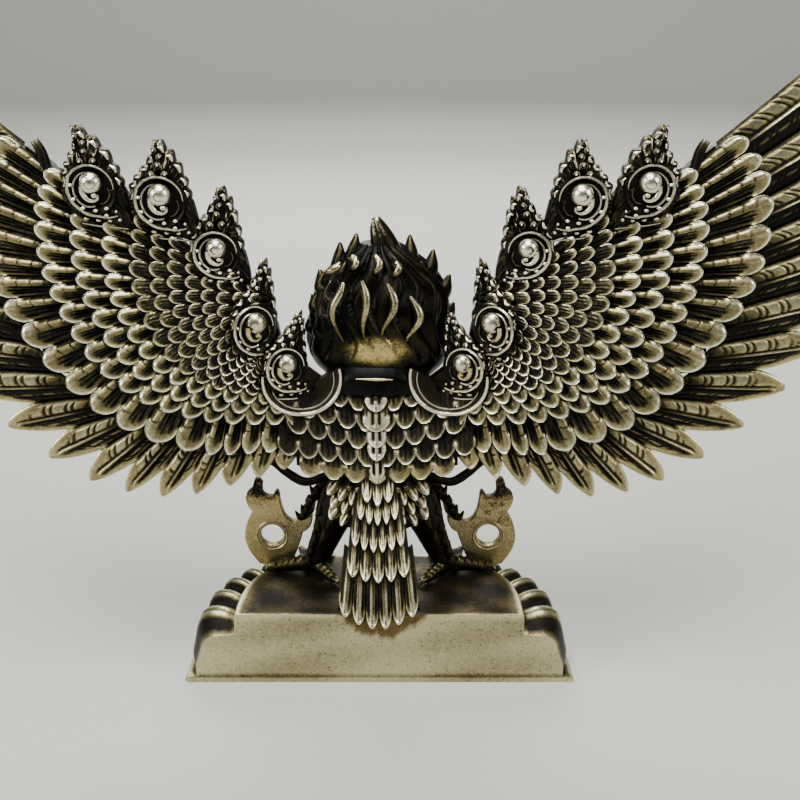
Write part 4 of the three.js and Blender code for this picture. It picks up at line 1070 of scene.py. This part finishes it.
# Height of a row's tips, its count, its half width, its height over the slab and its feathers' length
TAIL_ROWS = (
    (56, 3, 5.2, 2.2, 6), (50.6, 5, 6.6, 1.8, 6), (42.9, 6, 8.4, 1.4, 8), (34.3, 5, 9.8, 1.0, 9),
    (20.9, 6, 12.4, 0.3, 14),
)
# Height, half width and thickness of the slab's sections
TAIL_SLAB = (
    (68, 6.6, 2), (60, 6.8, 2), (52, 7, 2), (44, 8.2, 2), (36, 9.8, 2), (28.5, 11.4, 2), (24.6, 12.4, 0.4),
)
# Height of a hip row's first tip, its count, its distance from the middle and its height over the hip
HIP_ROWS = ((54.5, 4, 2.8, 3.2), (50.2, 3, 5.4, 2.2), (46.4, 2, 9.6, 1.2))


def tail_lean(z):
    """How far back the tail stands at a height."""
    return 15 + 16 * np.clip((62 - z) / 42, 0, 1) ** 0.85


def on_tail(tip, a, h):
    """Places points over the tail's slab. It narrows upward from each row's half width."""
    across, low, half = np.moveaxis(tip, -1, 0)
    z = low + a
    return np.stack([across * (half - 0.12 * a), tail_lean(z) + h - 0.6 * across ** 2, z + 0 * h], -1)


def tail_tips(low, half, rise):
    """Tips of one row, from -1 at its one side to 1 at the other, with the row's half width."""
    def tips(t):
        across = 2 * np.asarray(t, float) - 1
        return np.stack([across, low + rise * across ** 2, half + 0 * across], -1)
    return tips


def on_hip(side):
    """Places points over the top of a leg. The feathers fan out and down from the waist."""
    def place(tip, a, h):
        out, high = tip[..., 0], tip[..., 1]
        slant = 0.05 * (out - 2)
        up = high + a * (1 - 0.3 * slant)
        return np.stack([side * (out - slant * a), 15.4 - 0.32 * out + h + 0 * a, up], -1)
    return place


def hip_tips(low, count, start):
    """Tips of one row of hip feathers, from the tail outward."""
    def tips(t):
        t = np.asarray(t, float)
        return np.stack([start + 3.5 * count * t, low - 1.5 * t + 5 * t ** 2, 0 * t], -1)
    return tips


def tail_relief(x, half, behind, edge, w, seen, number):
    """A bright middle and end, with a dark groove along each side."""
    end = bell(edge, 0.42, 0.34) * (1 - 0.75 * smooth(behind, 1.5, 5))
    seam = bell(edge, 0, 0.16) * smooth(behind, 1, 3)
    middle = bell(w, 0, 0.42)
    cut = (bell(x, 0.6 * half, 0.17 * half) + bell(x, -0.6 * half, 0.17 * half)) * smooth(behind, 1.8, 3.4)
    slit = bell(x, 0.12 * half * (-1) ** number, 0.22) * smooth(behind, 2.4, 4.5)
    rise = 0.2 * end + 0.3 * middle - 0.5 * cut - 0.3 * seam - 0.25 * slit + 0.6 * (1 - w ** 2)
    rub = 0.2 + 0.45 * end + 0.62 * middle - 0.7 * cut - 0.9 * seam - 0.65 * slit
    rub = rub * (1 - 0.75 * smooth(behind, 0.6 * seen, 0.98 * seen))
    return rise, rub, 0.3


def hip_relief(x, half, behind, edge, w, seen, number):
    """A tail feather's carving, left darker."""
    rise, rub, gold = tail_relief(x, half, behind, edge, w, seen, number)
    return rise, rub - 0.14, gold


tail = []
for low, count, half, level, length in TAIL_ROWS:
    lowest = low < 25
    tail += feather_row(
        tail_tips(low, half, 5 if lowest else 2.4), on_tail, count, "round", 3.4 if lowest else 3,
        length, 3.5, (level + 0.2, level - 0.5, level - 0.9), tail_relief, 44 if lowest else 28, 21,
        thick=1.7, gap=0.15,
    )
across = np.linspace(-1, 1, 21)
slab = []
for z, half, thick in TAIL_SLAB:
    line = np.c_[across * half, tail_lean(z) - 1.5 - 0.6 * across ** 2, np.full(21, z)]
    slab.append(np.vstack([line, line[::-1] - [0, thick, 0]]))
tail.append(loft(slab, (0.12, 0.1)))
for side in (-1, 1):
    for low, count, start, level in HIP_ROWS:
        tail += feather_row(
            hip_tips(low, count, start), on_hip(side), count, "round", 2.8, 5.5, 2.5,
            (level + 0.6, level - 0.2, level - 1.2), hip_relief, 24, 19, under=2, gap=0.5,
        )
tail_piece = cast("tail", tail, wing_metal, LEAN, FEATHER_CRISP)
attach(tail_piece, "root")
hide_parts("garuda_figure")

# Scarf. A narrow band cast in one with the figure: a loop from each arm round to the waist, and an end
# that falls to the flaming ring. Small frills stand out along the end, and the edges are faintly rubbed.
scarf = []
for side in (-1, 1):
    s = np.array([side, 1, 1])
    loop = np.array([(31, 15, 68), (28, 13, 64), (22.5, 11, 59.8), (15, 8, 60.5)]) * s
    fall = np.array([(14, 7, 61), (18.6, 5.5, 55), (21.6, 1.5, 48), (24, -3.5, 42)]) * s
    scarf.append(bar(loop, [1.5, 1.2, 1.5, 1.1, 1.5], 40, 10, rub=0.12))
    scarf.append(bar(fall, [1.5, 1.2, 1.7, 1.2, 2.1, 1.4], 40, 10, rub=0.12))
    for share in (0.1, 0.28, 0.47, 0.7, 0.9):
        frill = curve(fall)(share) + np.array([side * 0.9, 0.6, -0.8])
        tip = frill + [side * (1.8 + sin(9 * share)), 0.2, 1.4]
        scarf.append(bar([frill, frill + [side * 1.2, 0.3, -0.9], tip], [1.3, 1.2, 0.25], 12, 8, rub=0.3))
    for line, width in ((loop, 1.5), (fall, 1.8)):
        for off in (-0.6, 0.6):
            scarf.append(bar(line + [0, width * 0.75, off * width], [0.3, 0.34, 0.3], 28, 6, rub=0.32))
scarf_piece = cast("scarf", scarf, dark_metal, LEAN)
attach(scarf_piece, "root")
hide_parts("garuda_figure")

# Head. A bird's head with a hooked beak and a diadem, under a mass of hair that stands up in flaming
# locks. Behind, the locks are rubbed bright on their edges over a stippled golden patch and a collar.
hair_line = [
    (91.5, 14, 0, 14, -1), (98, 19.9, -5, 18.4, -1), (106, 20.5, -7, 20, -1), (114, 19.9, -7, 19.6, -1.4),
    (121, 17.5, -6, 17.6, -2), (127, 12.5, -3, 15, -2), (132, 5.5, 1, 11, -2),
]
HAIR_MIDDLE = np.array([0, 6, 106])


def carve_hair(rings, tones, turn):
    """Wavy strands round the hair, and the golden patch at the nape."""
    z = rings[:, :, 2]
    above = smooth(z, 98, 102)
    strand = np.abs(np.sin(9 * turn + 1.3 * np.sin(z * 0.26 + turn * 2) + 0.12 * z)) ** 0.6
    fine = np.sin(31 * turn + 2.2 * np.sin(z * 0.33 + turn))
    grow = 1 + above * (0.13 * (strand - 0.75) + 0.012 * fine)
    middle = rings.mean(1, keepdims=True)[:, :, :2]
    level = middle + (rings[:, :, :2] - middle) * grow[:, :, None]
    x, y = np.moveaxis(level, 2, 0)
    patch = np.exp(-((x + 0.8) / 6.8) ** 2 - ((z - 103.2) / 3.3) ** 2) * (y > 8)
    speckle = np.random.default_rng(4).uniform(-0.5, 0.5, z.shape)
    tones[:, :, 0] = 0.02 + 0.12 * above * strand ** 8 + 0.66 * patch + 0.9 * speckle * patch * (1.15 - patch)
    tones[:, :, 1] = 0.1 + 0.9 * smooth(patch, 0.05, 0.4)
    return np.concatenate([level, z[:, :, None]], 2), tones


def lock(root, bend, tip, thick, rub):
    """One flaming lock: a flattened spike, drawn out to a point and rubbed toward it."""
    radii = thick * (1 - 0.9 * np.linspace(0, 1, 5) ** 1.5)
    return bar([root, bend, tip], radii, 18, 8, flat=0.8, rub=(0, rub), power=3, gold=0.15)


head = [sectioned(hair_line, 180, 76, carve=carve_hair)]
# Locks round the rim of the hair, each with two smaller ones behind it
rim_locks = (
    (20, 109), (18.4, 116.6), (16, 124), (9.8, 131.8), (5, 134.4), (-10.4, 134), (-17.2, 129.8),
    (-21.9, 122.4), (-23.2, 114), (-22.4, 104),
)
for x, z in rim_locks:
    tip = np.array([x, 5, z])
    inward = HAIR_MIDDLE - tip
    aside = np.sign(x)
    head.append(lock(tip + inward * 0.45, tip + inward * 0.18 + [1.5 * aside, 2, -1.6], tip, 4.4, 0.8))
    for back, turned, size in ((0.2, 3.2, 2.6), (0.32, 7, 2.4)):
        inner = tip + inward * back + [1.4, turned, 0.5]
        root = tip + inward * (back + 0.34) + [0, turned + 2.5, 0]
        head.append(lock(root, inner + [1.6 * aside, 0.8, -1.5], inner + [0, -0.6, 3.4], size, 0.82))
# The tall middle lock and the bright lines up its back
top_lock = [(-2.6, 6, 122), (-3.2, 7.6, 130), (-1.4, 7, 136.5), (-0.6, 6.4, 139.3)]
head.append(bar(top_lock, [5.6, 4.6, 2.6, 1.1], 24, 14, flat=0.8, rub=(0, 0.92), power=3))
for x in (-3.4, -1.6, 0.4):
    line = [(x - 1.4, 10.6, 127), (x - 1, 10.2, 132), (0.4 * x, 8.2, 138.6)]
    head.append(bar(line, [0.5, 0.6, 0.4], 16, 6, rub=(0, 0.6)))
# Locks on the back of the head: where each starts, bends and ends, and how far back it lies
back_locks = (
    (-8.6, 105.4, -12.7, 112, -10.2, 119, 19), (-2, 108, -5.6, 115.5, -3.9, 123, 20.4),
    (2.8, 107, 2.2, 115.5, 3.2, 123.8, 20.4), (8.8, 106, 11.4, 116.3, 8.4, 123.2, 19.5),
    (-6.3, 122.8, -6.6, 125.6, -6.1, 128.3, 16.2), (-0.8, 123.6, -1.4, 126.6, -0.5, 130.2, 16),
    (4.9, 125, 5, 127.4, 6.2, 129.9, 15.6), (13, 124.5, 11.8, 126, 9.6, 127.9, 15.6),
)
for x0, z0, x1, z1, x2, z2, out in back_locks:
    spine = curve([(x0, out - 0.6, z0), (x1, out + 0.9, z1), (x2, out - 0.2, z2)])(np.linspace(0, 1, 9))
    spine[:, 0] += 0.7 * np.sin(np.linspace(0, 2 * pi, 9))
    head.append(bar(spine, [0.3, 0.6, 0.95, 1.1, 1.05, 0.5], 28, 8, rub=(0.3, 0.9), gold=0.45))
    head.append(bar(spine[2:] + [0.9, -0.3, -0.6], [0.3, 0.7, 0.6, 0.2], 20, 6, rub=(0.1, 0.4)))
# The smooth collar between the hair and the mantle, with a bright worn ledge
collar_edge = np.array([
    (8, 99.5), (17.6, 99.2), (18.8, 97.4), (19.9, 96), (20.4, 94.6), (20, 92.4), (19.6, 90.4), (18.2, 88.8),
    (8, 88.4),
])
y, z = collar_edge.T
collar = []
for x in np.linspace(-11.6, 11.6, 41):
    bulge = 1 - 0.12 * (abs(x) / 11.6) ** 3
    collar.append(np.c_[np.full(9, x), y * bulge, z - 0.012 * x * x * (z > 93)])
collar_rub = np.zeros((41, 9))
collar_rub[14:30, 4:6] = 0.1
head.append(loft(collar, np.stack([collar_rub, 0 * collar_rub], 2)))
ledge = [(x, 20.3 - 0.004 * x * x, 95.1 + 0.02 * x) for x in np.linspace(-5.2, 5.6, 9)]
head.append(bar(ledge, [0.1, 0.4, 0.5, 0.35, 0.1], 30, 8, rub=0.95, gold=0.6, guide=(0, 0, 1)))
# Eyes and brows, the face, and the two halves of the beak
for side in (-1, 1):
    head.append(bead((side * 5.4, -12.4, 111.5), (3.2, 2.8, 2.6), 0.35, 0.1, 20, 14))
    head.append(bead((side * 5.6, -14.6, 111.3), (1.7, 1.2, 1.5), 0.8, 0.1, 16, 12))
    brow = [(side * 1.5, -14.2, 113), (side * 5.6, -15.4, 115.2), (side * 10.4, -10.4, 113.4)]
    head.append(bar(brow, [0.7, 1.2, 0.5], 18, 8, rub=0.55))
head.append(bead((0, -4, 108), (12, 11, 13), 0.3, 0.1, 40, 28))
upper_beak = [(0, -13, 108), (0, -19, 108.5), (0, -24.5, 105), (0, -26, 99)]
head.append(bar(upper_beak, [5.4, 4.6, 3.2, 0.5], 26, 16, rub=0.5, guide=(1, 0, 0)))
lower_beak = [(0, -13, 102), (0, -18, 101), (0, -21.5, 100.4)]
head.append(bar(lower_beak, [4.4, 3, 0.8], 16, 14, rub=0.4, guide=(1, 0, 0)))
# The diadem: a beaded band with three leaves
band = [(-15, -1, 116), (-8.5, -9.4, 117.6), (0, -12.2, 118.4), (8.5, -9.4, 117.6), (15, -1, 116)]
head.append(bar(band, [1.6, 1.7, 1.6], 40, 10, rub=0.45, guide=(0, 0, 1)))
for share in np.linspace(0.04, 0.96, 23):
    head.append(bead(curve(band)(share) + [0, -1.3, 0], 0.85, 0.8, 0.3, 8, 5))
for x, y, z in ((-8.5, -9.4, 125), (0, -12.2, 129), (8.5, -9.4, 125)):
    leaf = [(x, y, 117), (x, y - 0.8, 118 + 0.45 * (z - 118)), (x * 0.96, y + 1.4, z)]
    head.append(bar(leaf, [2.2, 3, 0.4], 18, 12, flat=0.6, rub=0.5))
    head.append(bead((x, y - 2.2, 120.6), (1.2, 0.9, 1.6), 0.9, 0.3, 10, 8))
hair_metal = bronze(
    "hair_bronze", pale=(0.64, 0.58, 0.42), brown=(0.007, 0.006, 0.005), gold=(0.5, 0.4, 0.14),
    dark=(0.0011, 0.001, 0.0009), rough=(0.34, 0.22), pits=0.3, blotch=0.5,
)
head_piece = cast("head", head, hair_metal, LEAN, 80)
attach(head_piece, "root")
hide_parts("garuda_figure")

# Patina in the hollows. The figure was dipped black and rubbed back by hand, so the metal stays dark
# wherever a cloth can't reach. Each point is marked by how much open sky it sees.
OFF_SURFACE = 0.00012
REACH = 0.005
RAYS = 8
surfaces, all_points, all_faces, first = [], [], [], 0
for piece in [o for o in bpy.data.objects if o.type == "MESH" and "patina" in o.data.attributes]:
    mesh = piece.data
    points, normals = np.empty((2, len(mesh.vertices), 3))
    mesh.vertices.foreach_get("co", points.ravel())
    mesh.vertices.foreach_get("normal", normals.ravel())
    corners = np.empty((len(mesh.polygons), 3), np.int32)
    mesh.loops.foreach_get("vertex_index", corners.ravel())
    surfaces.append((piece, points, normals))
    all_points.append(points)
    all_faces.append(corners + first)
    first += len(points)
everything = BVHTree.FromPolygons(
    np.vstack(all_points).tolist(), np.vstack(all_faces).tolist(), all_triangles=True,
)
golden_turn = pi * (3 - 5 ** 0.5)
height = np.sqrt((np.arange(RAYS) + 0.5) / RAYS)[::-1]
ray_x = np.sqrt(1 - height ** 2) * np.cos(golden_turn * np.arange(RAYS))
ray_y = np.sqrt(1 - height ** 2) * np.sin(golden_turn * np.arange(RAYS))
for piece, points, normals in surfaces:
    level = np.where(np.abs(normals[:, 2:]) < 0.9, [[0.0, 0.0, 1.0]], [[1.0, 0.0, 0.0]])
    across = np.cross(normals, level)
    across /= np.maximum(np.linalg.norm(across, axis=1)[:, None], 1e-9)
    along = np.cross(normals, across)
    origins = (points + normals * OFF_SURFACE).tolist()
    seen = np.zeros(len(points))
    for k in range(RAYS):
        rays = (across * ray_x[k] + along * ray_y[k] + normals * height[k]).tolist()
        hits = [everything.ray_cast(o, r, REACH)[3] for o, r in zip(origins, rays)]
        seen += [1.0 if h is None else 0.75 * h / REACH for h in hits]
    patina = piece.data.attributes["patina"]
    colours = np.empty((len(points), 4))
    patina.data.foreach_get("color", colours.ravel())
    colours[:, 2] = seen / RAYS
    patina.data.foreach_set("color", colours.ravel())

# Floor and light. A plain pale floor that curves up far away into a round wall. Broad soft lamps stand
# above, beside and in front of the figure for the metal to mirror, and two light the wall.
AROUND = 96
profile = [(0.001, 0), (1.5, 0), (3.2, 0)]
profile += [(3.2 + 1.3 * sin(a), 1.3 - 1.3 * cos(a)) for a in np.linspace(0, pi / 2, 13)[1:]]
profile.append((4.5, 1.8))
turns = [2 * pi * k / AROUND for k in range(AROUND)]
floor_mesh = bpy.data.meshes.new("floor")
floor_mesh.from_pydata([(r * cos(a), r * sin(a), z) for r, z in profile for a in turns], [], [
    (low + k, low + (k + 1) % AROUND, low + AROUND + (k + 1) % AROUND, low + AROUND + k)
    for low in range(0, (len(profile) - 1) * AROUND, AROUND) for k in range(AROUND)
])
floor_mesh.polygons.foreach_set("use_smooth", [True] * len(floor_mesh.polygons))
floor = bpy.data.objects.new("floor", floor_mesh)
bpy.context.collection.objects.link(floor)
floor_paint = bpy.data.materials.new("pale_floor")
floor_paint.use_nodes = True
paint = floor_paint.node_tree.nodes["Principled BSDF"].inputs
paint["Base Color"].default_value = (0.5, 0.5, 0.455, 1)
paint["Roughness"].default_value = 0.75
floor_mesh.materials.append(floor_paint)
floor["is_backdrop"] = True
FIGURE = (0, 0, 0.1)
for name, place, aim, size, power in (
    ("overhead", (0.05, 0.3, 0.85), FIGURE, 0.55, 11.0), ("left_side", (0.8, 0.5, 0.45), FIGURE, 0.4, 5.5),
    ("right_side", (-0.8, 0.45, 0.5), FIGURE, 0.4, 4.0), ("front", (0.1, -0.9, 0.9), FIGURE, 0.8, 13.0),
    ("backdrop", (0, -0.9, 2.0), (0, -4, 0.6), 1.6, 95.0),
    ("rear_backdrop", (0, 0.9, 2.0), (0, 4, 0.6), 1.6, 12.0),
):
    lamp = bpy.data.lights.new(name, "AREA")
    lamp.size = size
    lamp.energy = power
    lamp_object = bpy.data.objects.new(name, lamp)
    lamp_object.location = place
    toward = Vector(aim) - Vector(place)
    lamp_object.rotation_euler = toward.to_track_quat("-Z", "Y").to_euler()
    bpy.context.collection.objects.link(lamp_object)
world = bpy.data.worlds.new("pale_room")
bpy.context.scene.world = world
world.use_nodes = True
room = world.node_tree.nodes["Background"].inputs
room["Color"].default_value = (0.74, 0.74, 0.68, 1)
room["Strength"].default_value = 0.2

low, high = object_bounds()
